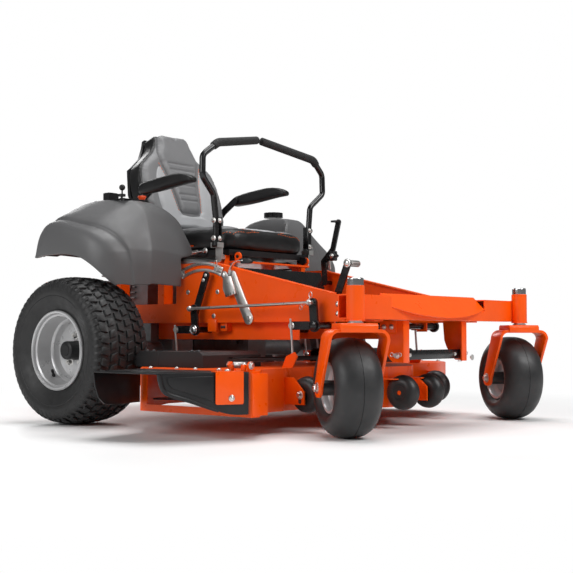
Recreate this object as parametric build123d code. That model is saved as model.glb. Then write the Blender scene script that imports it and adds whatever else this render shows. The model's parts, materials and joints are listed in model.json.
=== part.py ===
from build123d import *
import os
from math import cos, hypot, radians, sin

# Zero turn mower: every named sub-part, in millimetres.
# The design frame has +X forward, +Y to the operator's left and +Z up from the ground,
# with x = 0 at the rear axle and y = 0 on the centre plane. Each part is moved at export
# so that the origin is the bottom centre of the whole machine's bounding box.

# ---- overall ----
REAR_X = -640.0
CHUTE_Y = -1062.0

# ---- rear wheels: 22 x 10 inch turf tyres ----
TYRE_R = 279.4
TYRE_W = 255.0
WHEEL_Y = 694.5
RIM_R = 147.0
AXLE_R = 17.5

# ---- front casters: 13 x 6.5 inch ----
CASTER_R = 165.0
CASTER_W = 165.0
CASTER_RIM_R = 82.0
CASTER_X = 1205.0
CASTER_Y = 545.0
CASTER_TRAIL = 80.0
CASTER_TURN = -34.0
CASTER_FRONT_X = 1305.0
SPINDLE_R = 12.7
STEM_R = 30.0
STEM_LOW = 384.0
STEM_TOP = 498.0

# ---- frame ----
RAIL_IN = 290.0
RAIL_OUT = 340.0
RAIL_LOW = 385.0
RAIL_TOP = 461.0
RAIL_REAR = -560.0
BEAM_REAR = 1133.0
BEAM_FRONT = 1185.0
BEAM_LOW = 390.0
BEAM_TOP = 472.0
PANEL = 5.0
NOSE_X = 1136.0
NOSE_Z = 482.0
NOSE_HALF = 310.0

# ---- cutter deck: 61 inch, three blades ----
DECK_LOW = 73.0
DECK_TOP = 222.0
DECK_PLATE = 5.0
DECK_SIDE = 775.0
SPINDLE_OUT = (560.0, 510.0)
SPINDLE_MID = (725.0, 0.0)
BLADE_R = 255.0
BLADE_Z = 100.0
PULLEY_R = 56.0
ROLLER_R = 64.0
ROLLER_Z = 130.0
ROLLER_SIDE = (897.0, 410.0)
ROLLER_FRONT = (1075.0, 83.0)
HINGE_Y = -768.0
HINGE_Z = 240.0

# ---- deck lift linkage ----
REAR_SHAFT = (318.0, 358.0)
FRONT_SHAFT = (907.0, 371.0)
LIFT_R = 12.0
CRANK_IN = 380.0
CRANK_OUT = 390.0
HANGER_ARM = 100.0
LINK_ARM = 80.0
HANGER_Y = 397.0
LINK_Y = 410.0

# ---- seat and controls ----
SEAT_HINGE = (381.0, 647.0)
SEAT_HALF = 250.0
SEAT_TOP = 775.0
BACK_LEAN = 19.0
BACK_LONG = 479.0
ARM_PIVOT = (-72.0, 944.0)
LEVER_PIVOT = (334.0, 640.0)
LEVER_SWING_Z = 690.0
LEVER_Y = 288.0
LEVER_R = 12.5
GRIP_R = 17.0
FENDER_TOP = 868.0
CONSOLE_Y = -500.0
THROTTLE_X = 56.0
THROTTLE_Y = CONSOLE_Y - 30
CHOKE_X = 20.0
PTO_X = 72.0
PTO_Y = -440.0
THROTTLE_Z = 862.0
CAP_X = -50.0
CAP_R = 44.0
BRAKE_PIVOT = (415.0, 560.0)

FIT = 0.05
ORIGIN = Vector((REAR_X + CASTER_FRONT_X) / 2, (CHUTE_Y + WHEEL_Y + TYRE_W / 2) / 2, 0)
written = []


# ---- helpers ----
def save(shape, name):
    """Write one node, moved from the design frame to the machine's bottom centre."""
    os.makedirs("parts", exist_ok=True)
    export_step(Pos(-ORIGIN.X, -ORIGIN.Y, 0) * shape, f"parts/{name}.step")
    written.append(name)


def group(*shapes):
    """Separate solids that belong to one node."""
    solids = []
    for shape in shapes:
        solids += shape.solids()
    return Compound(solids)


def flip(shape):
    """The same piece on the other side of the machine."""
    return mirror(shape, about=Plane.XZ)


def both(shape):
    """A right-hand piece and its left-hand twin, as separate solids."""
    return group(shape, flip(shape))


def block(x0, x1, y0, y1, z0, z1):
    """A box between two corners."""
    middle = Pos((x0 + x1) / 2, (y0 + y1) / 2, (z0 + z1) / 2)
    return middle * Box(abs(x1 - x0), abs(y1 - y0), abs(z1 - z0))


def rod(start, end, radius):
    """A round bar from one point to another."""
    axis = Vector(*end) - Vector(*start)
    return Part(Solid.make_cylinder(radius, axis.length, Plane(origin=start, z_dir=axis)).wrapped)


def side_plate(outline, y0, y1):
    """A plate with a side-view outline of (x, z) points, from y0 to y1."""
    face = make_face(Polyline(*[(x, y0, z) for x, z in outline], close=True))
    return extrude(face, amount=y1 - y0, dir=(0, 1, 0))


def flat_plate(outline, z0, z1):
    """A plate with a plan outline of (x, y) points, from z0 to z1."""
    face = make_face(Polyline(*[(x, y, z0) for x, y in outline], close=True))
    return extrude(face, amount=z1 - z0, dir=(0, 0, 1))


def front_plate(outline, x0, x1):
    """A plate with a front-view outline of (y, z) points, from x0 to x1."""
    face = make_face(Polyline(*[(x0, y, z) for y, z in outline], close=True))
    return extrude(face, amount=x1 - x0, dir=(1, 0, 0))


def bar(points, width, y0, y1):
    """A flat bar with round ends that follows (x, z) points, from y0 to y1."""
    pieces = [rod((x, y0, z), (x, y1, z), width / 2) for x, z in points]
    for (xa, za), (xb, zb) in zip(points, points[1:]):
        long = hypot(xb - xa, zb - za)
        dx, dz = (xb - xa) / long * width / 2, (zb - za) / long * width / 2
        corners = [(xa - dz, za + dx), (xb - dz, zb + dx), (xb + dz, zb - dx), (xa + dz, za - dx)]
        pieces.append(side_plate(corners, y0, y1))
    return pieces[0].fuse(*pieces[1:])


def bent_tube(points, radius, bend):
    """A round tube through the points, with arcs of the bend radius at the corners."""
    path = FilletPolyline(*points, radius=bend)
    section = Plane(origin=path @ 0, z_dir=path % 0) * Circle(radius)
    return sweep(section, path=path)


def wheel_turning(profile, x, y, z):
    """A turned ring: (radius, offset) points spun about a line along Y through (x, y, z)."""
    face = make_face(Polyline(*[(r, offset, 0) for r, offset in profile], close=True))
    return Pos(x, y, z) * revolve(face, axis=Axis.Y)


# ---- rear wheels ----
def rear_tyre(side):
    half = TYRE_W / 2
    outer = [(140, -100), (160, -112), (215, -half), (255, -121), (273, -104), (TYRE_R, -70)]
    outer += [(r, -y) for r, y in reversed(outer)]
    inner = [(140, 86), (200, 108), (262, 84), (262, -84), (200, -108), (140, -86)]
    return wheel_turning(outer + inner, 0, side * WHEEL_Y, TYRE_R)


def rear_rim(side):
    """Deep dish rim with its hub, axle shaft and lug nuts. side is +1 left, -1 right."""
    out = side
    barrel = [(140, -100), (140, 101), (RIM_R, 105), (RIM_R, 111), (132, 109), (128, 40)]
    barrel += [(120, 34), (38, 22), (38, 12), (124, 24), (130, -100)]
    rim = wheel_turning([(r, y * out) for r, y in barrel], 0, side * WHEEL_Y, TYRE_R)
    hub_face = side * (WHEEL_Y + 12)
    hub = rod((0, side * 640, TYRE_R), (0, hub_face, TYRE_R), 62)
    boss = rod((0, hub_face, TYRE_R), (0, hub_face + side * 52, TYRE_R), 36)
    shaft = rod((0, side * 300, TYRE_R), (0, side * 640, TYRE_R), AXLE_R)
    hub = hub.fuse(boss, shaft)
    nuts = []
    for k in range(5):
        turn = radians(72 * k + 18)
        x, z = 52 * cos(turn), TYRE_R + 52 * sin(turn)
        nuts.append(rod((x, side * (WHEEL_Y + 24), z), (x, side * (WHEEL_Y + 40), z), 10))
    return group(rim, hub, *nuts)


for side, word in ((-1, "right"), (1, "left")):
    save(rear_tyre(side), f"rear_tyre_{word}")
    save(rear_rim(side), f"rear_rim_{word}")


# ---- casters, built straight behind the stem and then turned ----
def place_caster(shape, side):
    return Pos(CASTER_X, side * CASTER_Y, 0) * (Rot(0, 0, CASTER_TURN) * shape)


def caster_fork():
    """Bent flat-bar fork with its spindle, wheel bolt and nuts."""
    crown_low, crown_top, gap, thick = 345.0, 357.0, 94.0, 11.0
    outer = gap + thick
    crown = block(-42, 42, -outer, outer, crown_low, crown_top)
    arm_outline = [(-42, crown_top), (42, crown_top), (42, 330), (-48, 140), (-80, 132), (-112, 156)]
    arm = side_plate(arm_outline, -outer, -gap)
    saddle = block(-42, 42, -68, 68, crown_top, 374)
    spindle = rod((0, 0, 374), (0, 0, 505), SPINDLE_R)
    collar = rod((0, 0, 374), (0, 0, STEM_LOW - 2), 24)
    body = crown.fuse(arm, flip(arm), saddle, spindle, collar)
    for y in (-outer, outer):
        body = fillet(body.edges().filter_by(Axis.X).filter_by_position(Axis.Y, y, y), 9)
    bolt_at = (-CASTER_TRAIL, CASTER_R)
    hole = rod((bolt_at[0], -140, bolt_at[1]), (bolt_at[0], 140, bolt_at[1]), 9.5)
    bolt = rod((bolt_at[0], -outer, bolt_at[1]), (bolt_at[0], outer, bolt_at[1]), 9.5)
    nut = rod((bolt_at[0], -outer - 13, bolt_at[1]), (bolt_at[0], -outer, bolt_at[1]), 15)
    return group(body - hole, bolt.fuse(nut, flip(nut)))


def caster_tyre():
    half = CASTER_W / 2
    outer = [(78, -52), (100, -66), (128, -half), (150, -72), (161, -50), (CASTER_R, -22)]
    outer += [(r, -y) for r, y in reversed(outer)]
    inner = [(78, 42), (110, 62), (150, 46), (150, -46), (110, -62), (78, -42)]
    return wheel_turning(outer + inner, -CASTER_TRAIL, 0, CASTER_R)


def caster_rim():
    barrel = [(78, -52), (78, 52), (CASTER_RIM_R, 56), (CASTER_RIM_R, 60), (72, 58), (68, 8), (24, 6)]
    barrel += [(24, 92), (9.5 + FIT, 92), (9.5 + FIT, -92), (24, -92), (24, -6), (68, -8)]
    barrel += [(72, -58), (CASTER_RIM_R, -60), (CASTER_RIM_R, -56)]
    return wheel_turning(barrel, -CASTER_TRAIL, 0, CASTER_R)


for side, word in ((-1, "right"), (1, "left")):
    save(place_caster(caster_fork(), side), f"caster_fork_{word}")
    save(place_caster(caster_tyre(), side), f"caster_tyre_{word}")
    save(place_caster(caster_rim(), side), f"caster_rim_{word}")


# ---- main frame ----
def box_tube(x0, x1, y0, y1, z0, z1, wall=4.0):
    """A rectangular tube along X, open at both ends."""
    bore = block(x0 - 1, x1 + 1, y0 + wall, y1 - wall, z0 + wall, z1 - wall)
    return block(x0, x1, y0, y1, z0, z1) - bore


def main_frame():
    rail = box_tube(RAIL_REAR, BEAM_REAR, -RAIL_OUT, -RAIL_IN, RAIL_LOW, RAIL_TOP)
    hanger_rail = block(23, 766, -300, -294, 320, RAIL_LOW)
    post_rear = block(-200, -165, -RAIL_OUT, -RAIL_IN, RAIL_TOP, 640)
    post_front = block(60, 95, -RAIL_OUT, -RAIL_IN, RAIL_TOP, 640)
    lug = block(884, 930, -302, -294, 350, RAIL_LOW)
    flare = [(1014, -RAIL_OUT), (BEAM_REAR, -500), (BEAM_REAR, -450), (1040, -RAIL_OUT)]
    gusset = flat_plate(flare, 396, 468)
    half = rail.fuse(hanger_rail, post_rear, post_front, lug, gusset)
    for x, z in (REAR_SHAFT, FRONT_SHAFT):
        half = half - rod((x, -310, z), (x, -280, z), LIFT_R + FIT)
    engine_plate = block(RAIL_REAR, -150, -RAIL_IN, RAIL_IN, 455, RAIL_TOP)
    rear_cross = block(RAIL_REAR, -548, -RAIL_IN, RAIL_IN, RAIL_LOW, 455)
    mid_cross = block(130, 142, -RAIL_IN, RAIL_IN, RAIL_LOW, 455)
    hitch = block(REAR_X, RAIL_REAR, -70, 70, RAIL_LOW, RAIL_LOW + 8)
    frame = half.fuse(flip(half), engine_plate, rear_cross, mid_cross, hitch)
    return frame - rod((-612, 0, 380), (-612, 0, 400), 9.6)


def side_panel():
    """Right-hand frame side plate with a folded lip along its sloping top."""
    outline = [(172, RAIL_LOW), (172, 603), (181, 613), (204, 616), (389, 616)]
    outline += [(529, 583), (952, 487), (1010, 470), (1010, RAIL_LOW)]
    plate = side_plate(outline, -RAIL_OUT - PANEL, -RAIL_OUT)
    lip = [(400, 613), (529, 583), (952, 487), (952, 482), (529, 578), (400, 608)]
    return plate.fuse(side_plate(lip, -RAIL_OUT, -RAIL_OUT + 24))


def foot_platform():
    plate = block(480, BEAM_REAR, -265, 265, 395, 400)
    kick = side_plate([(474, 400), (480, 400), (420, 600), (414, 600)], -265, 265)
    ribs = [block(510, 860, y - 6, y + 6, 400, 406) for y in range(-200, 240, 80)]
    tabs = block(560, 640, -RAIL_IN, -265, 395, 400)
    return plate.fuse(kick, tabs, flip(tabs), *ribs)


def front_beam():
    bore = block(BEAM_REAR + 5, BEAM_FRONT - 5, -600, 600, BEAM_LOW + 5, BEAM_TOP - 5)
    beam = block(BEAM_REAR, BEAM_FRONT, -CASTER_Y, CASTER_Y, BEAM_LOW, BEAM_TOP) - bore
    drop = NOSE_Z - 5 * 2 ** 0.5
    wedge = [(NOSE_X - 60, drop + 60), (NOSE_X + 100, drop - 100), (NOSE_X + 100, drop + 60)]
    beam = beam - side_plate(wedge, -NOSE_HALF, NOSE_HALF)
    for side in (-1, 1):
        y = side * CASTER_Y
        beam = beam - rod((CASTER_X, y, 380), (CASTER_X, y, 500), STEM_R)
        tube = rod((CASTER_X, y, STEM_LOW), (CASTER_X, y, STEM_TOP), STEM_R)
        beam = beam.fuse(tube - rod((CASTER_X, y, 380), (CASTER_X, y, 500), SPINDLE_R + FIT))
    return beam


def nose_plate():
    """A plate at 45 degrees over the beam, with an arc for its lower front edge."""
    deep = 48 * 2 ** 0.5
    bulge = 34 * 2 ** 0.5
    edge = ThreePointArc((deep, -NOSE_HALF, 0), (deep + bulge, 0, 0), (deep, NOSE_HALF, 0))
    rest = Polyline((deep, NOSE_HALF, 0), (0, NOSE_HALF, 0), (0, -NOSE_HALF, 0), (deep, -NOSE_HALF, 0))
    face = make_face(Curve() + [edge, rest])
    plate = extrude(face, amount=5, dir=(0, 0, -1))
    return Pos(NOSE_X, 0, NOSE_Z) * (Rot(0, 45, 0) * plate)


def front_brackets():
    """Two hanging brackets under the beam, the bar between them and its pins."""
    web_outline = [(1060, BEAM_LOW), (1070, 310), (1112, 246), (1165, 240), (1165, BEAM_LOW)]
    pieces = []
    for y in (-208, 208):
        web = side_plate(web_outline, y - 3, y + 3)
        flange = block(1159, 1165, y + 3, y + 34, 240, BEAM_LOW)
        pieces.append(web.fuse(flange))
    cross = block(1126, 1150, -205, 205, 250, 284)
    pins = []
    for y in (-211, 211):
        step = 14 if y > 0 else -14
        pins.append(rod((1138, y, 266), (1138, y + step, 266), 9))
    return group(*pieces, cross, *pins)


def caster_caps():
    y = -CASTER_Y
    cap = rod((CASTER_X, y, STEM_TOP), (CASTER_X, y, STEM_TOP + 25), 27)
    cap = fillet(cap.edges().filter_by(GeomType.CIRCLE).sort_by(Axis.Z)[-1:], 5)
    return both(cap - rod((CASTER_X, y, STEM_TOP - 1), (CASTER_X, y, STEM_TOP + 14), 20))


save(main_frame(), "main_frame")
save(both(side_panel()), "side_panels")
save(foot_platform(), "foot_platform")
save(front_beam(), "front_beam")
save(nose_plate(), "nose_plate")
save(front_brackets(), "front_brackets")
save(caster_caps(), "caster_caps")


# ---- engine, drives and rear guard ----
def engine_block():
    case = block(-500, -240, -120, 120, RAIL_TOP, 640)
    pieces = [case]
    for side in (-1, 1):
        for k in range(5):
            fin = Box(150, 120, 6)
            lean = Pos(-400, side * 130, 500 + 24 * k) * (Rot(0, 0, side * -35) * fin)
            pieces.append(lean)
    crank = rod((-400, 0, 300), (-400, 0, RAIL_TOP), 14)
    return (pieces[0].fuse(*pieces[1:]).fuse(crank)) - block(-600, -100, -500, 500, 445, RAIL_TOP)


def engine_shroud():
    drum = rod((-400, 0, 640), (-400, 0, 742), 176)
    drum = fillet(drum.edges().filter_by(GeomType.CIRCLE).sort_by(Axis.Z)[-1:], 22)
    return drum.fuse(rod((-400, 0, 742), (-400, 0, 758), 96))


def air_filter():
    case = block(-330, -198, -200, 200, 642, 735)
    case = case - rod((-400, 0, 590), (-400, 0, 750), 177)
    return fillet(case.edges().filter_by(Axis.Z).sort_by(Axis.X)[-2:], 18)


def muffler():
    drum = rod((-590, -190, 520), (-590, 190, 520), 38)
    pipe = rod((-590, 120, 520), (-590, 120, 470), 16)
    return drum.fuse(pipe)


def engine_guard():
    """Rear guard plate on two arms, with four accessory bolt holes."""
    plate = block(REAR_X, REAR_X + 6, -360, 360, 470, 570)
    arm = block(REAR_X + 6, RAIL_REAR + 40, -RAIL_OUT, -RAIL_OUT + 8, 470, 570)
    foot = block(RAIL_REAR, RAIL_REAR + 40, -RAIL_OUT, -RAIL_IN, RAIL_TOP, 470)
    guard = plate.fuse(arm, flip(arm), foot, flip(foot))
    for y in (-100, 100):
        for z in (500, 540):
            guard = guard - rod((REAR_X - 1, y, z), (REAR_X + 8, y, z), 5.5)
    return guard


def transaxle():
    """Right-hand hydraulic pump and motor with its axle tube."""
    case = block(-90, 90, -285, -170, 215, 318)
    pump = rod((-20, -225, 318), (-20, -225, 352), 38)
    tube = rod((0, -285, TYRE_R), (0, -600, TYRE_R), 34)
    hanger = block(-62, 20, -RAIL_OUT, -RAIL_IN, 300, RAIL_LOW)
    body = case.fuse(pump, tube, hanger)
    return body - rod((0, -299, TYRE_R), (0, -700, TYRE_R), AXLE_R + FIT)


save(engine_block(), "engine_block")
save(engine_shroud(), "engine_shroud")
save(air_filter(), "air_filter")
save(muffler(), "muffler")
save(engine_guard(), "engine_guard")
save(both(transaxle()), "transaxles")


# ---- fenders and console ----
def fender():
    """Right-hand fender shell over the tyre, open underneath."""
    outline = [(-240, 650), (-222, 790), (-150, 845), (-60, FENDER_TOP), (140, FENDER_TOP)]
    outline += [(162, 845), (206, 680), (215, 640), (215, 527), (150, 527), (150, 650)]
    shell = side_plate(outline, -735, -300)
    shell = fillet(shell.edges().filter_by(Axis.Y).sort_by(Axis.Z)[-4:], 14)
    shell = shell - block(100, 240, -364, -290, 500, 650)
    roof = [(-232, 640), (-216, 786), (-147, 839), (-58, 862), (136, 862), (157, 842)]
    front = [(199, 678), (207, 640), (207, 520), (140, 520), (140, 640)]
    shell = shell - side_plate(roof + front, -729, -370)
    shell = shell - side_plate(roof + [(193, 690), (193, 640)], -375, -306)
    return shell - rod((0, -800, TYRE_R), (0, -290, TYRE_R), 316)


def right_fender():
    """The control side, with holes for the three hand controls."""
    shell = fender() - rod((THROTTLE_X, THROTTLE_Y, 855), (THROTTLE_X, THROTTLE_Y, 875), 9)
    shell = shell - rod((CHOKE_X, CONSOLE_Y, 855), (CHOKE_X, CONSOLE_Y, 875), 5)
    return shell - rod((PTO_X, PTO_Y, 855), (PTO_X, PTO_Y, 875), 9)


def left_fender():
    """The tank side, with its filler neck."""
    return flip(fender().fuse(rod((CAP_X, CONSOLE_Y, FENDER_TOP), (CAP_X, CONSOLE_Y, 884), CAP_R - 8)))


def gauge_console():
    """Trim plate on the right fender with the hour meter and the plug of the choke."""
    plate = block(-95, 84, CONSOLE_Y - 45, CONSOLE_Y + 45, FENDER_TOP, FENDER_TOP + 3)
    meter = block(-62, -28, CONSOLE_Y - 26, CONSOLE_Y + 26, FENDER_TOP + 3, 903)
    collar = rod((CHOKE_X, CONSOLE_Y, FENDER_TOP + 3), (CHOKE_X, CONSOLE_Y, 880), 9)
    x, y = THROTTLE_X, THROTTLE_Y
    body = plate.fuse(meter, collar) - block(x - 8, x + 8, y - 7, y + 7, FENDER_TOP - 1, FENDER_TOP + 4)
    return body - rod((CHOKE_X, CONSOLE_Y, 860), (CHOKE_X, CONSOLE_Y, 890), 4 + FIT)


save(right_fender(), "fender_right")
save(left_fender(), "fender_left")
save(gauge_console(), "gauge_console")


# ---- seat ----
def seat_mount():
    """Seat base plate on four legs, with the two hinge eyes at its front."""
    plate = block(-60, 392, -222, 222, 622, 630)
    eye = rod((SEAT_HINGE[0], -214, SEAT_HINGE[1]), (SEAT_HINGE[0], -206, SEAT_HINGE[1]), 17)
    web = block(366, 392, -214, -206, 630, SEAT_HINGE[1])
    lever_post = block(322, 346, -251.5, -222, 600, 652)
    leg_front = block(300, 340, -222, -214, 455, 622)
    leg_rear = block(-60, -20, -222, -214, 455, 622)
    foot_front = block(300, 340, -RAIL_IN, -214, 455, RAIL_TOP)
    foot_rear = block(-60, -20, -RAIL_IN, -214, 455, RAIL_TOP)
    half = eye.fuse(web, lever_post, leg_front, leg_rear, foot_front, foot_rear)
    half = half - rod((SEAT_HINGE[0], -220, SEAT_HINGE[1]), (SEAT_HINGE[0], -200, SEAT_HINGE[1]), 6 + FIT)
    return plate.fuse(half, flip(half))


def seat_cushion():
    outline = [(-70, 676), (-70, 768), (60, 762), (230, SEAT_TOP), (330, SEAT_TOP), (385, 745), (385, 690)]
    outline += [(368, 676)]
    pad = side_plate(outline, -SEAT_HALF, SEAT_HALF)
    return fillet(pad.edges().filter_by(Axis.Y).sort_by(Axis.X)[-4:], 12)


def lean_back(shape):
    """Tip a piece built upright behind x = 0 to the back's lean, at the seat's rear."""
    return Pos(-62, 0, 782) * (Rot(0, -BACK_LEAN, 0) * shape)


def back_outline(grow):
    half = [(205, 0), (240, 90), (SEAT_HALF, 200), (222, 320), (140, 385), (106, 440), (88, BACK_LONG)]
    half = [(y + grow, z) for y, z in half]
    return [(-y, z) for y, z in half] + list(reversed(half))


def seat_back():
    return lean_back(front_plate(back_outline(0), -95, 0))


def seat_shell():
    """Seat pan, back shell, armrest pins and hinge knuckles."""
    back = lean_back(front_plate(back_outline(-6), -112, -95.2))
    pan = block(-175, 361, -240, 240, 652, 675.8)
    riser = side_plate([(-175, 655), (-196, 815), (-184, 815), (-158, 675)], -190, 190)
    knuckle = side_plate([(345, 655), (345, 645), (372, 632), (392, 640), (392, 662), (355, 668)], -204, -196)
    pin = rod((SEAT_HINGE[0], -218, SEAT_HINGE[1]), (SEAT_HINGE[0], -196, SEAT_HINGE[1]), 6)
    half = knuckle.fuse(pin)
    x, z = ARM_PIVOT
    bracket = bar([(-192, 852), (-140, 900), (x, z)], 30, -262, -254)
    arm_pin = rod((x, -262, z), (x, -300, z), 8)
    stay = block(-208, -194, -254, -180, 838, 862)
    arm = bracket.fuse(arm_pin, stay)
    return back.fuse(pan, riser, half, flip(half), arm, flip(arm))


def armrest():
    """Right-hand padded armrest that lifts about its rear pin."""
    outline = [(-98, 925), (-95, 968), (-40, 978), (110, 996), (190, 985), (214, 966), (216, 948)]
    outline += [(150, 946), (60, 930)]
    pad = side_plate(outline, -312, -264)
    pad = fillet(pad.edges().filter_by(Axis.Y), 8)
    x, z = ARM_PIVOT
    return pad - rod((x, -260, z), (x, -300.2, z), 8 + FIT)


save(seat_mount(), "seat_mount")
save(seat_cushion(), "seat_cushion")
save(seat_back(), "seat_back")
save(seat_shell(), "seat_shell")
save(armrest(), "armrest_right")
save(flip(armrest()), "armrest_left")


# ---- control levers ----
def lever_base():
    """Right-hand pivot bracket that the lever swings out from."""
    x, z = LEVER_PIVOT
    strap = bar([(x, z), (x, LEVER_SWING_Z)], 34, -272, -266)
    hub = rod((x, -266, z), (x, -252, z), 17)
    hinge_pin = rod((x - 21, -LEVER_Y, LEVER_SWING_Z), (x + 21, -LEVER_Y, LEVER_SWING_Z), 4)
    ears = block(x - 21, x - 15, -296, -266, 680, 700)
    ears = ears.fuse(block(x + 15, x + 21, -296, -266, 680, 700))
    return strap.fuse(hub, ears, hinge_pin)


def control_lever():
    """Right-hand lever tube, from its hinge to the foam grip."""
    route = [(334, -LEVER_Y, LEVER_SWING_Z), (334, -LEVER_Y, 790), (332, -301, 890), (343, -374, 952)]
    route += [(342, -372, 1037), (349, -319, 1076)]
    tube = bent_tube(route, LEVER_R, 34)
    sleeve = rod((334 - 14.8, -LEVER_Y, LEVER_SWING_Z), (334 + 14.8, -LEVER_Y, LEVER_SWING_Z), 9)
    tube = tube.fuse(sleeve)
    return tube - rod((300, -LEVER_Y, LEVER_SWING_Z), (360, -LEVER_Y, LEVER_SWING_Z), 4 + FIT)


def lever_grip():
    route = [(349, -319, 1076), (352, -296.3, 1092.7), (303, -16, 1143)]
    return bent_tube(route, GRIP_R, 50)


for side, word in ((-1, "right"), (1, "left")):
    turn = flip if side > 0 else (lambda shape: shape)
    save(turn(lever_base()), f"lever_base_{word}")
    save(turn(control_lever()), f"control_lever_{word}")
    save(turn(lever_grip()), f"lever_grip_{word}")


# ---- cutter deck ----
def deck_outline():
    """Plan of the deck: discharge side straight to its front, far side rounded round its blade."""
    right = [(215, -430), (285, -560), (300, -640), (437, -DECK_SIDE), (962, -DECK_SIDE)]
    right += [(962, -735), (842, -590), (838, -480), (826, -452), (826, -300), (935, -192), (1005, -76)]
    left = [(1005, 76), (935, 192), (826, 300), (832, 520), (797, 648), (752, 704), (696, 747)]
    left += [(640, DECK_SIDE), (437, DECK_SIDE)]
    left += [(300, 640), (285, 560), (215, 430)]
    return right + left


def deck_shell():
    """Fabricated deck shell, open underneath and at the discharge side."""
    plan = make_face(Polyline(*[(x, y, 0) for x, y in deck_outline()], close=True))
    inner = offset(plan, amount=-DECK_PLATE, kind=Kind.INTERSECTION)
    deep = DECK_TOP - DECK_LOW
    shell = Pos(0, 0, DECK_LOW) * extrude(plan, amount=deep, dir=(0, 0, 1))
    hollow = Pos(0, 0, DECK_LOW - 1) * extrude(inner, amount=deep - DECK_PLATE + 1, dir=(0, 0, 1))
    shell = shell - hollow
    shell = shell - block(470, 800, -DECK_SIDE - 1, -DECK_SIDE + 9, 97, DECK_TOP - DECK_PLATE)
    for x, y in spindle_points():
        shell = shell - rod((x, y, DECK_TOP - 20), (x, y, DECK_TOP + 1), 38)
    rear = side_plate([(212, DECK_TOP), (212, 268), (254, 268), (262, DECK_TOP)], -408, -402)
    front = [(776, DECK_TOP), (796, 262), (834, 278), (846, 262), (824, DECK_TOP)]
    front = side_plate(front, -408, -402)
    shell = shell.fuse(rear, front, flip(rear), flip(front))
    return shell.fuse(*roller_brackets(), *chute_lugs())


def spindle_points():
    x, y = SPINDLE_OUT
    return [(x, -y), SPINDLE_MID, (x, y)]


def roller_brackets():
    """Plates that carry the anti-scalp rollers, each with its axle stub."""
    x, y = ROLLER_SIDE
    side = [(824, 190), (868, 190), (916, 140), (916, 96), (824, 96)]
    side = side_plate(side, -y - 44, -y - 38)
    stub = rod((x, -y - 38, ROLLER_Z), (x, -y + 26, ROLLER_Z), 8)
    right = side.fuse(stub)
    xf, yf = ROLLER_FRONT
    nose = [(1000, 180), (1060, 180), (1096, 148), (1096, 96), (1000, 96)]
    nose = side_plate(nose, -yf + 37, -yf + 43)
    nose_stub = rod((xf, -yf + 37, ROLLER_Z), (xf, -yf - 26, ROLLER_Z), 8)
    middle = nose.fuse(nose_stub)
    return [right, flip(right), middle, flip(middle)]


def chute_lugs():
    lugs = []
    for x in (858, 942):
        lugs.append(front_plate([(HINGE_Y + 20, DECK_TOP - 2), (HINGE_Y - 4, DECK_TOP - 2),
                                 (HINGE_Y - 12, HINGE_Z), (HINGE_Y, HINGE_Z + 12),
                                 (HINGE_Y + 12, HINGE_Z)], x, x + 12))
    pin = rod((858, HINGE_Y, HINGE_Z), (954, HINGE_Y, HINGE_Z), 5)
    return lugs + [pin]


def deck_covers():
    """Right and left belt covers, open below and towards the middle."""
    outline = [(286, DECK_TOP), (286, 262), (304, 279), (612, 279), (630, 266), (630, DECK_TOP)]
    cover = side_plate(outline, -660, -356)
    inside = [(290, DECK_TOP - 1), (290, 261), (306, 275), (611, 275), (626, 264), (626, DECK_TOP - 1)]
    cover = cover - side_plate(inside, -656, -350)
    return both(cover - block(620, 635, -530, -350, 238, 258))


def spindle_housings():
    """Bearing housings bolted through the deck top."""
    parts = []
    for x, y in spindle_points():
        flange = rod((x, y, DECK_TOP), (x, y, DECK_TOP + 8), 62)
        neck = rod((x, y, 150), (x, y, DECK_TOP), 34)
        cap = rod((x, y, DECK_TOP + 8), (x, y, DECK_TOP + 12), 30)
        bolts = []
        for k in range(4):
            turn = radians(45 + 90 * k)
            bx, by = x + 50 * cos(turn), y + 50 * sin(turn)
            bolts.append(rod((bx, by, DECK_TOP + 8), (bx, by, DECK_TOP + 13), 7))
        housing = flange.fuse(neck, cap, *bolts)
        parts.append(housing - rod((x, y, 140), (x, y, 240), SPINDLE_R + FIT))
    return group(*parts)


def hanger_rods():
    """Four deck hangers: an eye on the deck lug and a threaded rod up to the bell crank."""
    rods = []
    for x_eye, z_eye, x_top, z_top in ((233, 250, 218, 376), (818, 254, 807, 396)):
        eye = rod((x_eye, -401.7, z_eye), (x_eye, -392.3, z_eye), 13)
        rods.append(eye.fuse(rod((x_eye, -HANGER_Y, z_eye), (x_top, -HANGER_Y, z_top), 4.4)))
    return group(*rods, *[flip(piece) for piece in rods])


def deck_belt():
    """Belt loop round the three spindle pulleys."""
    spots = spindle_points()
    loops = []
    for grow in (PULLEY_R + 5, PULLEY_R):
        rounds = [rod((x, y, 243), (x, y, 253), grow) for x, y in spots]
        corners = []
        for k in range(3):
            (xa, ya), (xb, yb) = spots[k], spots[(k + 1) % 3]
            long = hypot(xb - xa, yb - ya)
            nx, ny = (yb - ya) / long * grow, (xa - xb) / long * grow
            corners += [(xa + nx, ya + ny), (xb + nx, yb + ny)]
        loops.append(flat_plate(corners, 243, 253).fuse(*rounds))
    return loops[0] - loops[1]


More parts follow.
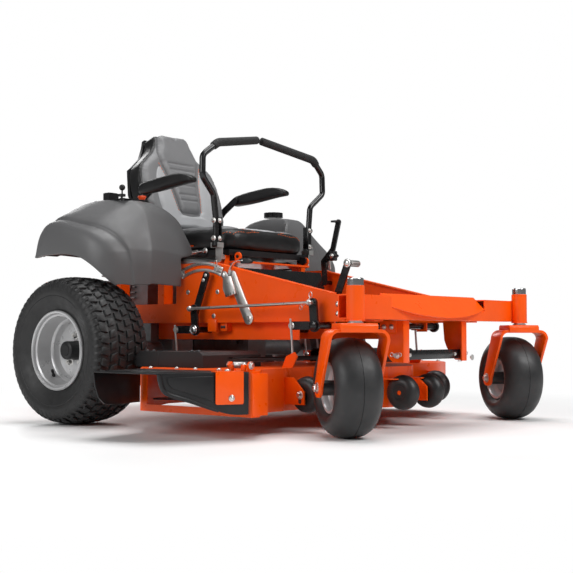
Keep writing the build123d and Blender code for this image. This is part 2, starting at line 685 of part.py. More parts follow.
def blade(spot, turn):
    """Blade, its bolt and spindle shaft, and the pulley on top."""
    x, y = spot
    steel = Box(2 * BLADE_R, 60, 6) - Cylinder(SPINDLE_R, 20)
    steel = chamfer(steel.edges().filter_by(Axis.Z).sort_by_distance((0, 0, 0))[-4:], 8)
    steel = Pos(x, y, BLADE_Z + 3) * (Rot(0, 0, turn) * steel)
    shaft = rod((x, y, BLADE_Z), (x, y, 268), SPINDLE_R)
    head = rod((x, y, BLADE_Z - 11), (x, y, BLADE_Z), 18)
    collar = rod((x, y, BLADE_Z + 6), (x, y, 148), 22)
    pulley = rod((x, y, 238), (x, y, 258), PULLEY_R - 0.5)
    groove = Pos(x, y, 248) * (Cylinder(PULLEY_R + 5, 10.4) - Cylinder(PULLEY_R - 8, 10.4))
    hub = rod((x, y, 258), (x, y, 264), 26)
    turned = shaft.fuse(head)
    sleeve = collar - rod((x, y, 100), (x, y, 200), SPINDLE_R)
    wheel = pulley.fuse(hub) - groove - rod((x, y, 200), (x, y, 300), SPINDLE_R)
    return group(steel, turned, sleeve, wheel)


def roller(x, y):
    """Rubber anti-scalp roller with rounded rims."""
    profile = [(8 + FIT, -30), (44, -30), (58, -25), (ROLLER_R, -14)]
    profile += [(r, -w) for r, w in reversed(profile)]
    return wheel_turning(profile, x, y, ROLLER_Z)


def discharge_chute():
    """Plastic grass deflector, open outward, with its steel mounting plate and hinge tube."""
    inner_y, top, low = -780.0, DECK_TOP - 2, 84.0
    rear_x, tip_x, corner_x, front_x = 440.0, 520.0, 830.0, 958.0
    lid = flat_plate([(rear_x, inner_y), (tip_x, CHUTE_Y), (corner_x, CHUTE_Y), (front_x, inner_y)],
                     top - 4, top)
    step = 4.5
    slope = [(front_x, inner_y), (corner_x, CHUTE_Y), (corner_x - step, CHUTE_Y), (front_x - step, inner_y)]
    front = flat_plate(slope, low, top - 4)
    under = [(CHUTE_Y - 5, low - 5), (CHUTE_Y - 5, 136), (CHUTE_Y + 60, 120), (-900, 92), (-860, low - 5)]
    front = front - front_plate(under, corner_x - 20, front_x + 5)
    rear = [(rear_x, inner_y), (tip_x, CHUTE_Y), (tip_x + step, CHUTE_Y), (rear_x + step, inner_y)]
    rear = flat_plate(rear, 176, top - 4)
    plastic = lid.fuse(front, rear)
    arm = block(872, 940, HINGE_Y - 22, HINGE_Y - 12, top, HINGE_Z + 2)
    shelf = block(872, 940, HINGE_Y - 22, HINGE_Y - 6, HINGE_Z - 3, HINGE_Z + 2)
    tube = rod((871, HINGE_Y, HINGE_Z), (941, HINGE_Y, HINGE_Z), 9)
    steel = arm.fuse(shelf, tube) - rod((860, HINGE_Y, HINGE_Z), (950, HINGE_Y, HINGE_Z), 5 + FIT)
    return group(plastic, steel)


save(deck_shell(), "deck_shell")
save(deck_covers(), "deck_covers")
save(spindle_housings(), "spindle_housings")
save(hanger_rods(), "hanger_rods")
save(deck_belt(), "deck_belt")
for spot, word, turn in zip(spindle_points(), ("right", "centre", "left"), (18, 70, 40)):
    save(blade(spot, turn), f"blade_{word}")
side_x, side_y = ROLLER_SIDE
save(roller(side_x, -side_y), "roller_right")
save(roller(side_x, side_y), "roller_left")
save(both(roller(ROLLER_FRONT[0], -ROLLER_FRONT[1])), "front_rollers")
save(discharge_chute(), "discharge_chute")


# ---- deck lift linkage ----
def bell_crank(pivot):
    """Right-hand bell crank: one arm back to the hanger, one arm up to the link rod."""
    x, z = pivot
    arm_back = bar([(x, z), (x - HANGER_ARM, z)], 30, -CRANK_OUT, -CRANK_IN)
    arm_up = bar([(x, z), (x - 6, z + LINK_ARM)], 34, -CRANK_OUT, -CRANK_IN)
    hub = rod((x, -CRANK_OUT, z), (x, -CRANK_IN, z), 23)
    boss = rod((x, -CRANK_OUT - 5, z), (x, -CRANK_IN, z), 15)
    return arm_back.fuse(arm_up, hub, boss)


def lift_shaft(pivot):
    x, z = pivot
    crank = bell_crank(pivot)
    return rod((x, -CRANK_OUT, z), (x, CRANK_OUT, z), LIFT_R).fuse(crank, flip(crank))


def front_lift_shaft():
    """Front cross shaft with its cranks and the foot pedal arm."""
    pedal = bar([FRONT_SHAFT, (932, 490), (975, 593)], 28, -284, -276)
    return lift_shaft(FRONT_SHAFT).fuse(pedal)


def rear_lift_shaft():
    """Rear cross shaft with its cranks and the height setting arm."""
    x, z = REAR_SHAFT
    arm = bar([(x - 10, z + 60), (x + 50, z + 208)], 30, -CRANK_IN, -CRANK_IN + 8)
    return lift_shaft(REAR_SHAFT).fuse(arm)


def pedal_roller():
    return rod((975, -275.5, 593), (975, -218, 593), 12)


def link_rods():
    """Rods that tie the rear cranks to the front cranks, on both sides."""
    rear = (REAR_SHAFT[0] - 6, REAR_SHAFT[1] + LINK_ARM)
    front = (FRONT_SHAFT[0] - 6, FRONT_SHAFT[1] + LINK_ARM)
    long = rod((rear[0], -LINK_Y, rear[1]), (front[0], -LINK_Y, front[1]), 5.5)
    for x, z in (rear, front):
        long = long.fuse(rod((x, -LINK_Y - 6, z), (x, -CRANK_OUT - 1.5, z), 8))
    return both(long)


def height_quadrant():
    """Zinc quadrant with its strap, stop box and foot release, on the right side panel."""
    x, z = REAR_SHAFT
    y0, y1 = -RAIL_OUT - PANEL - 6, -RAIL_OUT - PANEL
    turns = [radians(118 - 6 * k) for k in range(10)]
    outer = [(x + 262 * cos(turn), z + 262 * sin(turn)) for turn in turns]
    inner = [(x + 226 * cos(turn), z + 226 * sin(turn)) for turn in reversed(turns)]
    arc = side_plate(outer + inner, y0, y1)
    strap = bar([(478, 560), (562, 398)], 44, y0, y1)
    stop_box = block(446, 500, y0 - 16, y0, 480, 560)
    release = bar([(470, 566), (520, 612), (600, 606)], 24, y0 - 16, y0)
    link = bar([(440, 560), (478, 560)], 30, y0, y1)
    return arc.fuse(strap, stop_box, release, link)


save(front_lift_shaft(), "front_lift_shaft")
save(pedal_roller(), "pedal_roller")
save(rear_lift_shaft(), "rear_lift_shaft")
save(link_rods(), "link_rods")
save(height_quadrant(), "height_quadrant")


# ---- small controls ----
def brake_lever():
    """Left-hand parking brake lever: a cranked flat bar with a folded top."""
    x, z = BRAKE_PIVOT
    lever = bar([(x, z), (408, 650), (458, 700), (488, 815)], 24, 296, 304)
    top = block(476, 500, 262, 300, 812, 820)
    pin = rod((x, 304, z), (x, RAIL_OUT - 0.5, z), 9)
    return lever.fuse(top, pin)


def throttle_lever():
    """Ball-topped throttle lever on its cross pivot, which lies along Y under the trim plate."""
    x, y, z = THROTTLE_X, THROTTLE_Y, THROTTLE_Z
    pivot = rod((x, y - 5, z), (x, y + 5, z), 4)
    stem = rod((x, y, z), (x, y, z + 46), 3)
    ball = Pos(x, y, z + 54) * Sphere(12)
    return stem.fuse(pivot, ball)


def choke_knob():
    stem = rod((CHOKE_X, CONSOLE_Y, 866), (CHOKE_X, CONSOLE_Y, 886), 4)
    return stem.fuse(rod((CHOKE_X, CONSOLE_Y, 886), (CHOKE_X, CONSOLE_Y, 896), 15))


def pto_knob():
    stem = rod((PTO_X, PTO_Y, 800), (PTO_X, PTO_Y, 873), 8)
    return stem.fuse(rod((PTO_X, PTO_Y, 873), (PTO_X, PTO_Y, 889), 17))


def fuel_cap():
    cap = rod((CAP_X, -CONSOLE_Y, 884.3), (CAP_X, -CONSOLE_Y, 908), CAP_R)
    grooves = []
    for k in range(12):
        turn = radians(30 * k)
        gx, gy = CAP_X + (CAP_R + 2) * cos(turn), -CONSOLE_Y + (CAP_R + 2) * sin(turn)
        grooves.append(rod((gx, gy, 880), (gx, gy, 915), 5))
    return cap.cut(*grooves)


save(brake_lever(), "brake_lever")
save(throttle_lever(), "throttle_lever")
save(choke_knob(), "choke_knob")
save(pto_knob(), "pto_knob")
save(fuel_cap(), "fuel_cap")
print("nodes written:", len(written), "origin moved by", tuple(ORIGIN))
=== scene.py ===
"""Looks of the zero turn mower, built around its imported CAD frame."""
import json
from math import acos, atan2, cos, exp, pi, radians, sin, sqrt

import bmesh
import bpy
from mathutils import Matrix, Vector
from mathutils.bvhtree import BVHTree

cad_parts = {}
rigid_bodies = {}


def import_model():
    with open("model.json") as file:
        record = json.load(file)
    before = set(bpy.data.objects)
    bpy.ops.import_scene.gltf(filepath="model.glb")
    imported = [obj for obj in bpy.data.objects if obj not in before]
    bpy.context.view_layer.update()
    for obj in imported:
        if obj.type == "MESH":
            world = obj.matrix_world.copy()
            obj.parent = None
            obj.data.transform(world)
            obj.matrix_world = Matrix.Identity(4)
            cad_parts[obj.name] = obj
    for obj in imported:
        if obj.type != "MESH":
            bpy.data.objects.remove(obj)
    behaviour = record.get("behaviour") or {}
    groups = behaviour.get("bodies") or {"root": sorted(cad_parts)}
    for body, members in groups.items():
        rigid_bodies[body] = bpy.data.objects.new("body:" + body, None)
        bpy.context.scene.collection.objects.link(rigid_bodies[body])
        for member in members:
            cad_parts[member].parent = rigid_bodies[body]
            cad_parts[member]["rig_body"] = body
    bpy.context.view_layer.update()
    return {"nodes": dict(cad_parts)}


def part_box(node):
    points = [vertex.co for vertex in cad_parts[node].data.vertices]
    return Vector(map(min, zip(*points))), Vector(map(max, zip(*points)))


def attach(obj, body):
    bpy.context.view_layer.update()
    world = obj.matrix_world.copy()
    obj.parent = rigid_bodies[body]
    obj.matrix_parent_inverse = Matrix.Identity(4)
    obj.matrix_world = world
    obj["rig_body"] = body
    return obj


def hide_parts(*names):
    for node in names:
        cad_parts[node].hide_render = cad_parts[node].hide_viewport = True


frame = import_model()
NODES = frame["nodes"]

# ---- the machine's own frame: millimetres from the middle of the rear axle, on the ground ----
MM = 0.001


def middle(node):
    low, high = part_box(node)
    return (low + high) / 2


AXLE_X = middle("rear_tyre_right").x
MID_Y = (middle("rear_tyre_right").y + middle("rear_tyre_left").y) / 2


def at(x, y, z):
    """A point given in the machine's millimetres, as metres in the shared frame."""
    return Vector((AXLE_X + x * MM, MID_Y + y * MM, z * MM))


def mm(point):
    """The other way round: a point of the shared frame in the machine's millimetres."""
    return Vector(((point.x - AXLE_X) / MM, (point.y - MID_Y) / MM, point.z / MM))


def limits(node):
    """A CAD node's lowest and highest corners in the machine's millimetres."""
    low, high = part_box(node)
    return mm(low), mm(high)


TYRE_LOW, TYRE_HIGH = limits("rear_tyre_right")
TYRE_R = (TYRE_HIGH.z - TYRE_LOW.z) / 2
WHEEL_Y = -(TYRE_LOW.y + TYRE_HIGH.y) / 2
RIM_R = 147.0
CASTER_R = (limits("caster_tyre_right")[1].z - limits("caster_tyre_right")[0].z) / 2
CASTER_STEM = (1205.0, 545.0)
CASTER_TURN = radians(-34)
CASTER_TRAIL = 80.0
SEAT_PIVOT = (-62.0, 782.0)
BACK_LEAN = radians(19)
SIDES = ((-1, "right"), (1, "left"))
# outer faces, on the right, of the side panel and of the plates that lie on it
PANEL_Y = -345.0
LIFT_Y = -351.0
# directions: -Y is the machine's right
RIGHT, UP, AHEAD, ACROSS = (0, -1, 0), (0, 0, 1), (1, 0, 0), (0, 1, 0)


# ---- materials ----
def look(name, colour, rough, metal=0.0, coat=0.0, vary=0.1, blotch=9.0, grain=0.0, size=1.0,
         cells=False, wear=0.0, tint=None, spread=0.12, shine=0.5):
    """A procedural finish. grain is the bump's depth and size its pitch, both in millimetres.
    wear is the share of a second colour, tint, that shows in patches."""
    mat = bpy.data.materials.new(name)
    mat.use_nodes = True
    tree = mat.node_tree
    shader = tree.nodes["Principled BSDF"]
    place = tree.nodes.new("ShaderNodeTexCoord").outputs["Object"]

    def noise(scale, detail=5.0):
        node = tree.nodes.new("ShaderNodeTexNoise")
        node.inputs["Scale"].default_value = scale
        node.inputs["Detail"].default_value = detail
        tree.links.new(place, node.inputs["Vector"])
        return node.outputs["Fac"]

    def span(value, low, high, start=0.3, end=0.7):
        node = tree.nodes.new("ShaderNodeMapRange")
        for key, number in (("From Min", start), ("From Max", end), ("To Min", low), ("To Max", high)):
            node.inputs[key].default_value = number
        tree.links.new(value, node.inputs["Value"])
        return node.outputs["Result"]

    def blend(factor, first, second):
        node = tree.nodes.new("ShaderNodeMix")
        node.data_type = "RGBA"
        tree.links.new(factor, node.inputs["Factor"])
        for key, value in (("A", first), ("B", second)):
            socket = [s for s in node.inputs if s.name == key and s.type == "RGBA"][0]
            if isinstance(value, tuple):
                socket.default_value = (*value, 1)
            else:
                tree.links.new(value, socket)
        return [s for s in node.outputs if s.type == "RGBA"][0]

    dark = tuple(c * (1 - vary) for c in colour)
    light = tuple(min(1.0, c * (1 + vary)) for c in colour)
    base = blend(span(noise(blotch), 0, 1), dark, light)
    if wear:
        patches = span(noise(blotch * 3.1, 9.0), 0, wear, 0.5, 0.75)
        base = blend(patches, base, tint)
    tree.links.new(base, shader.inputs["Base Color"])
    tree.links.new(span(noise(blotch * 2.3), rough - spread / 2, rough + spread), shader.inputs["Roughness"])
    shader.inputs["Metallic"].default_value = metal
    shader.inputs["Coat Weight"].default_value = coat
    shader.inputs["Coat Roughness"].default_value = 0.06
    shader.inputs["Specular IOR Level"].default_value = shine
    if grain:
        if cells:
            texture = tree.nodes.new("ShaderNodeTexVoronoi")
            texture.inputs["Scale"].default_value = 1000 / size
            tree.links.new(place, texture.inputs["Vector"])
            height = texture.outputs["Distance"]
        else:
            height = noise(1000 / size, 3.0)
        bump = tree.nodes.new("ShaderNodeBump")
        bump.inputs["Strength"].default_value = 0.6
        bump.inputs["Distance"].default_value = grain * MM
        tree.links.new(height, bump.inputs["Height"])
        tree.links.new(bump.outputs["Normal"], shader.inputs["Normal"])
    return mat


LOOKS = {
    "orange": look("orange_paint", (0.93, 0.094, 0.0), 0.32, coat=0.12, vary=0.04, grain=0.03, size=2.5,
                   shine=0.3),
    "black": look("black_paint", (0.006, 0.006, 0.0065), 0.24, coat=0.25, shine=0.4, grain=0.03, size=2.0),
    "zinc": look("zinc", (0.66, 0.65, 0.63), 0.30, metal=1.0, vary=0.06, blotch=14, grain=0.008, size=4.0,
                 spread=0.06),
    "chrome": look("bright_metal", (0.70, 0.70, 0.71), 0.14, metal=1.0, vary=0.03, spread=0.05),
    "cast": look("engine_metal", (0.22, 0.22, 0.225), 0.42, metal=0.8, blotch=25, grain=0.25, size=3.0),
    "steel": look("dark_steel", (0.035, 0.035, 0.037), 0.38, metal=0.3, vary=0.3, blotch=20, grain=0.1,
                  size=2.0, wear=0.5, tint=(0.09, 0.055, 0.035)),
    "plastic": look("black_plastic", (0.009, 0.009, 0.010), 0.36, shine=0.35, grain=0.08, size=1.3),
    "cover": look("cover_plastic", (0.016, 0.016, 0.017), 0.42, shine=0.35, vary=0.08, blotch=5, grain=0.14,
                  size=1.1),
    "grey": look("grey_plastic", (0.092, 0.092, 0.094), 0.44, vary=0.06, blotch=5, grain=0.16, size=1.1),
    "knob": look("orange_knob", (0.86, 0.075, 0.006), 0.30, vary=0.04),
    "tyre": look("tyre", (0.014, 0.014, 0.0145), 0.48, vary=0.25, blotch=14, grain=0.12, size=1.6, shine=0.4,
                 wear=0.22, tint=(0.035, 0.033, 0.03)),
    "caster": look("caster_rubber", (0.024, 0.024, 0.025), 0.42, shine=0.4, vary=0.15, blotch=10, grain=0.1,
                   size=2.2, wear=0.25, tint=(0.05, 0.048, 0.045)),
    "rim": look("rim_paint", (0.50, 0.50, 0.505), 0.30, metal=0.35, vary=0.05, grain=0.05, size=2.0),
    "foam": look("grip_foam", (0.013, 0.013, 0.0135), 0.72, vary=0.2, blotch=60, grain=0.25, size=0.9,
                 cells=True),
    "rubber": look("belt_rubber", (0.014, 0.014, 0.0145), 0.42, vary=0.2, blotch=30, grain=0.08, size=1.5),
    "mid": look("seat_vinyl_mid", (0.165, 0.166, 0.17), 0.46, vary=0.06, grain=0.22, size=1.7, cells=True),
    "light": look("seat_vinyl_light", (0.36, 0.365, 0.375), 0.50, vary=0.04, grain=0.2, size=1.4, cells=True),
    "dark": look("seat_vinyl_dark", (0.008, 0.008, 0.0085), 0.36, shine=0.35, vary=0.15, grain=0.22, size=1.9,
                 cells=True),
    "thread": look("orange_thread", (0.85, 0.15, 0.02), 0.6, vary=0.1, blotch=200),
}


# ---- mesh kit ----
def unit(a, b):
    return (Vector(b) - Vector(a)).normalized()


def rounded(points, radius, steps=6):
    """A route with an arc at each inner point."""
    points = [Vector(p) for p in points]
    route = [points[0]]
    for before, corner, after in zip(points, points[1:], points[2:]):
        u, v = unit(corner, before), unit(corner, after)
        half = acos(max(-1.0, min(1.0, u.dot(v)))) / 2
        back = min(radius / max(sin(half) / cos(half), 1e-4), (before - corner).length * 0.49,
                   (after - corner).length * 0.49)
        start, end = corner + u * back, corner + v * back
        for k in range(steps + 1):
            t = k / steps
            route.append(start * (1 - t) ** 2 + corner * 2 * t * (1 - t) + end * t ** 2)
    return route + [points[-1]]


def arc(centre, radius, start, end, steps):
    """Points (a, b) on an arc between two angles in degrees."""
    turns = [radians(start + (end - start) * k / steps) for k in range(steps + 1)]
    return [(centre[0] + radius * cos(t), centre[1] + radius * sin(t)) for t in turns]


def superellipse(half_a, half_b, power, steps):
    """Points (a, b) round a rounded rectangle."""
    ring = []
    for k in range(steps):
        c, s = cos(2 * pi * k / steps), sin(2 * pi * k / steps)
        ring.append((half_a * abs(c) ** (2 / power) * (1 if c > 0 else -1),
                     half_b * abs(s) ** (2 / power) * (1 if s > 0 else -1)))
    return ring


class Shape:
    """Collects shapes, in the machine's millimetres, into one mesh."""

    def __init__(self):
        self.bm = bmesh.new()
        self.looks = []

    def take(self, part, finish, bevel=0.0, segments=2):
        """Add a small mesh with one finish, after rounding its sharp edges."""
        bmesh.ops.remove_doubles(part, verts=part.verts, dist=1e-4)
        bmesh.ops.recalc_face_normals(part, faces=part.faces)
        if bevel:
            sharp = [e for e in part.edges if len(e.link_faces) == 2 and e.calc_face_angle(0) > radians(28)]
            bmesh.ops.bevel(part, geom=sharp, offset=bevel, segments=segments, profile=0.5,
                            affect="EDGES", clamp_overlap=True)
        if finish not in self.looks:
            self.looks.append(finish)
        for face in part.faces:
            face.material_index = self.looks.index(finish)
        data = bpy.data.meshes.new("part")
        part.to_mesh(data)
        part.free()
        self.bm.from_mesh(data)
        bpy.data.meshes.remove(data)
        return self

    def prism(self, finish, points, low, high, plane="XZ", bevel=1.2, turn=None):
        """A plate: an outline in one plane, between two values across it."""
        part = bmesh.new()
        order = {"XZ": lambda a, b, d: (a, d, b), "XY": lambda a, b, d: (a, b, d),
                 "YZ": lambda a, b, d: (d, a, b)}
        rings = [[part.verts.new(order[plane](a, b, d)) for a, b in points] for d in (low, high)]
        part.faces.new(rings[0])
        part.faces.new(rings[1])
        for k in range(len(points)):
            n = (k + 1) % len(points)
            part.faces.new((rings[0][k], rings[0][n], rings[1][n], rings[1][k]))
        if turn:
            part.transform(turn)
        return self.take(part, finish, bevel)

    def box(self, finish, low, high, bevel=1.2, turn=None):
        outline = [(low[0], low[2]), (high[0], low[2]), (high[0], high[2]), (low[0], high[2])]
        return self.prism(finish, outline, low[1], high[1], "XZ", bevel, turn)

    def loft(self, finish, rings, closed=False, caps=True, bevel=0.0):
        """A skin through rings of points. closed joins the last ring to the first."""
        part = bmesh.new()
        rows = [[part.verts.new(p) for p in ring] for ring in rings]
        count = len(rows[0])
        pairs = list(zip(rows, rows[1:])) + ([(rows[-1], rows[0])] if closed else [])
        for a, b in pairs:
            for k in range(count):
                n = (k + 1) % count
                part.faces.new((a[k], a[n], b[n], b[k]))
        if caps and not closed:
            part.faces.new(rows[0])
            part.faces.new(rows[-1])
        return self.take(part, finish, bevel)

    def tube(self, finish, route, radius, sides=16, flat=1.0, caps=True):
        """A round bar along a route. radius may be one number for each point."""
        route = [Vector(p) for p in route]
        radii = radius if isinstance(radius, (list, tuple)) else [radius] * len(route)
        rings, normal = [], None
        for k, point in enumerate(route):
            ahead = (route[min(k + 1, len(route) - 1)] - route[max(k - 1, 0)]).normalized()
            if normal is None:
                normal = ahead.orthogonal().normalized()
            normal = (normal - ahead * normal.dot(ahead)).normalized()
            across = ahead.cross(normal)
            rings.append([point + (normal * cos(2 * pi * i / sides) * flat + across * sin(2 * pi * i / sides))
                          * radii[k] for i in range(sides)])
        return self.loft(finish, rings, caps=caps)

    def lathe(self, finish, profile, centre, axis=ACROSS, steps=48, closed=True):
        """(radius, offset) points turned about an axis. closed joins the last point to the first."""
        axis = Vector(axis).normalized()
        side = axis.orthogonal().normalized()
        other = axis.cross(side)
        part = bmesh.new()
        rows = []
        for k in range(steps):
            out = side * cos(2 * pi * k / steps) + other * sin(2 * pi * k / steps)
            rows.append([part.verts.new(Vector(centre) + out * r + axis * o) for r, o in profile])
        for k in range(steps):
            a, b = rows[k], rows[(k + 1) % steps]
            last = len(profile) if closed else len(profile) - 1
            for i in range(last):
                n = (i + 1) % len(profile)
                part.faces.new((a[i], a[n], b[n], b[i]))
        return self.take(part, finish)

    def bolt(self, finish, point, direction, across=13.0, tall=7.0, washer=True, round_head=False):
        """A hexagon or dome head on a washer, its seat at the point."""
        direction = Vector(direction).normalized()
        point = Vector(point)
        if washer:
            r = across * 0.86
            rim = [(0.01, 0), (r, 0), (r, 1.6), (r - 0.6, 2.0), (0.01, 2.0)]
            self.lathe(finish, rim, point, direction, 24)
            point = point + direction * 2.0
        if round_head:
            r = across * 0.62
            cap = [(r, 0), (r, tall * 0.35), (r * 0.82, tall * 0.72), (r * 0.45, tall * 0.94), (0.01, tall)]
            return self.lathe(finish, [(0.01, 0)] + cap, point, direction, 24)
        r = across / sqrt(3)
        low = [(r, 0), (r, tall * 0.82), (r * 0.84, tall), (0.01, tall)]
        return self.lathe(finish, [(0.01, 0)] + low, point, direction, 6)

    def both(self):
        """Adds a mirrored twin on the machine's other side."""
        twin = self.bm.copy()
        bmesh.ops.transform(twin, matrix=Matrix.Scale(-1, 4, ACROSS), verts=twin.verts)
        bmesh.ops.reverse_faces(twin, faces=twin.faces)
        data = bpy.data.meshes.new("twin")
        twin.to_mesh(data)
        twin.free()
        self.bm.from_mesh(data)
        bpy.data.meshes.remove(data)
        return self

    def make(self, name, body, slot=None, replaces=(), mirror=False, sharp=38, subdivide=0):
        """The finished object, riding on its body."""
        if mirror:
            bmesh.ops.transform(self.bm, matrix=Matrix.Scale(-1, 4, ACROSS), verts=self.bm.verts)
            bmesh.ops.reverse_faces(self.bm, faces=self.bm.faces)
        for vert in self.bm.verts:
            vert.co = at(*vert.co)
        for edge in self.bm.edges:
            edge.smooth = not (len(edge.link_faces) == 2 and edge.calc_face_angle(0) > radians(sharp))
        for face in self.bm.faces:
            face.smooth = True
        data = bpy.data.meshes.new(name)
        self.bm.to_mesh(data)
        self.bm.free()
        piece = bpy.data.objects.new(name, data)
        bpy.context.scene.collection.objects.link(piece)
        for finish in self.looks:
            data.materials.append(LOOKS[finish])
        if subdivide:
            more = piece.modifiers.new("round", "SUBSURF")
            more.levels = more.render_levels = subdivide
        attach(piece, body)
        if replaces:
            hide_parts(*replaces)
        return piece


def pair(build, name, body, cad=None, **options):
    """One piece on each side, built on the right. body may have a gap for the side's word."""
    for side, word in SIDES:
        replaces = [f"{cad}_{word}"] if cad else ()
        build().make(f"{name}_{word}", body.format(word), replaces=replaces, mirror=side > 0, **options)


def eased(node, finish, width=1.2, angle=30):
    """A copy of a CAD node with rounded edges, shown in its place."""
    source = NODES[node]
    bm = bmesh.new()
    bm.from_mesh(source.data)
    bmesh.ops.remove_doubles(bm, verts=bm.verts, dist=1e-6)
    bmesh.ops.dissolve_limit(bm, angle_limit=radians(0.6), verts=bm.verts, edges=bm.edges)
    for edge in bm.edges:
        edge.smooth = not (len(edge.link_faces) == 2 and edge.calc_face_angle(0) > radians(angle))
    for face in bm.faces:
        face.smooth = True
        face.material_index = 0
    data = bpy.data.meshes.new(node + "_finished")
    bm.to_mesh(data)
    bm.free()
    data.materials.append(LOOKS[finish])
    piece = bpy.data.objects.new(node + "_finished", data)
    bpy.context.scene.collection.objects.link(piece)
    bevel = piece.modifiers.new("edges", "BEVEL")
    bevel.width = width * MM
    bevel.segments = 2
    bevel.limit_method = "ANGLE"
    bevel.angle_limit = radians(angle)
    bevel.harden_normals = True
    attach(piece, source["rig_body"])
    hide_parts(node)
    return piece


# ---- camera, lights and floor ----
def camera():
    data = bpy.data.cameras.new("camera")
    data.lens = 69.6
    data.sensor_width = 36
    data.clip_start = 0.1
    data.clip_end = 60
    cam = bpy.data.objects.new("camera", data)
    bpy.context.scene.collection.objects.link(cam)
    cam.location = at(3344, -3421, 343)
    cam.rotation_euler = (radians(90 + 2.43), 0, radians(130.2 - 90))
    bpy.context.scene.camera = cam


def area(name, spot, aim, wide, high, power, colour=(1, 1, 1)):
    data = bpy.data.lights.new(name, "AREA")
    data.shape = "RECTANGLE"
    data.size = wide
    data.size_y = high
    data.energy = power
    data.color = colour
    lamp = bpy.data.objects.new(name, data)
    bpy.context.scene.collection.objects.link(lamp)
    lamp.location = spot
    lamp.rotation_euler = (Vector(aim) - Vector(spot)).to_track_quat("-Z", "Y").to_euler()


def white_away():
    """Pale floor that turns into plain white away from the machine."""
    mat = look("pale_floor", (0.90, 0.90, 0.90), 0.5, vary=0.01, blotch=0.5)
    tree = mat.node_tree
    place = tree.nodes.new("ShaderNodeNewGeometry")
    length = tree.nodes.new("ShaderNodeVectorMath")
    length.operation = "LENGTH"
    tree.links.new(place.outputs["Position"], length.inputs[0])
    ramp = tree.nodes.new("ShaderNodeMapRange")
    ramp.interpolation_type = "SMOOTHSTEP"
    ramp.inputs["From Min"].default_value = 1.15
    ramp.inputs["From Max"].default_value = 2.7
    tree.links.new(length.outputs["Value"], ramp.inputs["Value"])
    glow = tree.nodes.new("ShaderNodeEmission")
    mix = tree.nodes.new("ShaderNodeMixShader")
    tree.links.new(ramp.outputs["Result"], mix.inputs[0])
    tree.links.new(tree.nodes["Principled BSDF"].outputs[0], mix.inputs[1])
    tree.links.new(glow.outputs[0], mix.inputs[2])
    tree.links.new(mix.outputs[0], tree.nodes["Material Output"].inputs["Surface"])
    return mat


def studio():
    world = bpy.data.worlds.new("studio")
    world.use_nodes = True
    tree = world.node_tree
    seen = tree.nodes["Background"]
    seen.inputs["Color"].default_value = (1, 1, 1, 1)
    lit = tree.nodes.new("ShaderNodeBackground")
    lit.inputs["Color"].default_value = (1, 1, 1, 1)
    lit.inputs["Strength"].default_value = 0.16
    rays = tree.nodes.new("ShaderNodeLightPath")
    choice = tree.nodes.new("ShaderNodeMixShader")
    tree.links.new(rays.outputs["Is Camera Ray"], choice.inputs[0])
    tree.links.new(lit.outputs[0], choice.inputs[1])
    tree.links.new(seen.outputs[0], choice.inputs[2])
    tree.links.new(choice.outputs[0], tree.nodes["World Output"].inputs["Surface"])
    bpy.context.scene.world = world
    bpy.context.scene.view_settings.view_transform = "Standard"
    area("key", (4.6, 0.6, 4.2), (0.2, 0, 0.4), 2.6, 2.6, 185)
    area("side", (-0.6, -5.4, 2.6), (0, -0.2, 0.5), 3.4, 2.2, 130)
    area("overhead", (0.0, 0.4, 5.2), (0, 0, 0.3), 3.5, 3.5, 185)
    area("back", (-4.8, 2.4, 3.0), (0, 0, 0.6), 2.4, 2.2, 90)
    bm = bmesh.new()
    bmesh.ops.create_grid(bm, x_segments=8, y_segments=8, size=14)
    data = bpy.data.meshes.new("floor")
    bm.to_mesh(data)
    bm.free()
    floor = bpy.data.objects.new("floor", data)
    bpy.context.scene.collection.objects.link(floor)
    floor.location = (0, 0, -0.0005)
    data.materials.append(white_away())


camera()
studio()


# ---- rear wheels ----
def crown(u):
    """Radius of the rear tyre's carcass at a distance from its middle."""
    return TYRE_R - 8.5 - 15 * (abs(u) / 112) ** 2.8


def rear_tyre():
    """Turf tyre with wavy rows of blocks and long shoulder lugs."""
    shape = Shape()
    tread = [(crown(u), u) for u in range(112, -113, -16)]
    wall = [(252, 119), (243, 124), (228, 127), (214, 126.5), (208, 124), (205, 125.5), (190, 121),
            (172, 112), (158, 103), (RIM_R, 100), (RIM_R - 6, 92)]
    profile = [(r, u) for r, u in reversed(wall)] + tread + [(r, -u) for r, u in wall]
    inner = [(RIM_R + 4, -84), (240, -100), (240, 100), (RIM_R + 4, 84)]
    shape.lathe("tyre", profile + inner, (0, -WHEEL_Y, TYRE_R), steps=96)
    rows = [(-92, 30), (-57, 29), (-19, 29), (19, 29), (57, 29), (92, 30)]
    count = 40
    lugs = count * 3 // 2
    for r, (middle_u, wide) in enumerate(rows):
        for k in range(count):
            turn = 2 * pi * (k + 0.5 * (r % 2)) / count
            block(shape, turn, middle_u, wide, 30, 9 if r % 2 else -9, 8.2)
    for side in (-1, 1):
        for k in range(lugs):
            lug(shape, 2 * pi * k / lugs, side)
    return shape


def wheel_point(turn, radius, u):
    return (radius * cos(turn), -WHEEL_Y + u, TYRE_R + radius * sin(turn))


def block(shape, turn, u, wide, long, skew, tall):
    """One tread block: a skewed pad that follows the crown."""
    corners = []
    for du, along in ((-0.5, -0.5), (0.5, -0.5), (0.5, 0.5), (-0.5, 0.5)):
        side_u = u + du * wide
        arc_mm = along * long + du * skew
        corners.append((side_u, turn + arc_mm / TYRE_R))
    part = bmesh.new()
    low = [part.verts.new(wheel_point(t, crown(v) - 3, v)) for v, t in corners]
    lean = 0.9
    high = [part.verts.new(wheel_point(turn + (t - turn) * lean, crown(v) + tall, u + (v - u) * lean))
            for v, t in corners]
    quads(part, low, high)
    shape.take(part, "tyre", 1.4, 1)


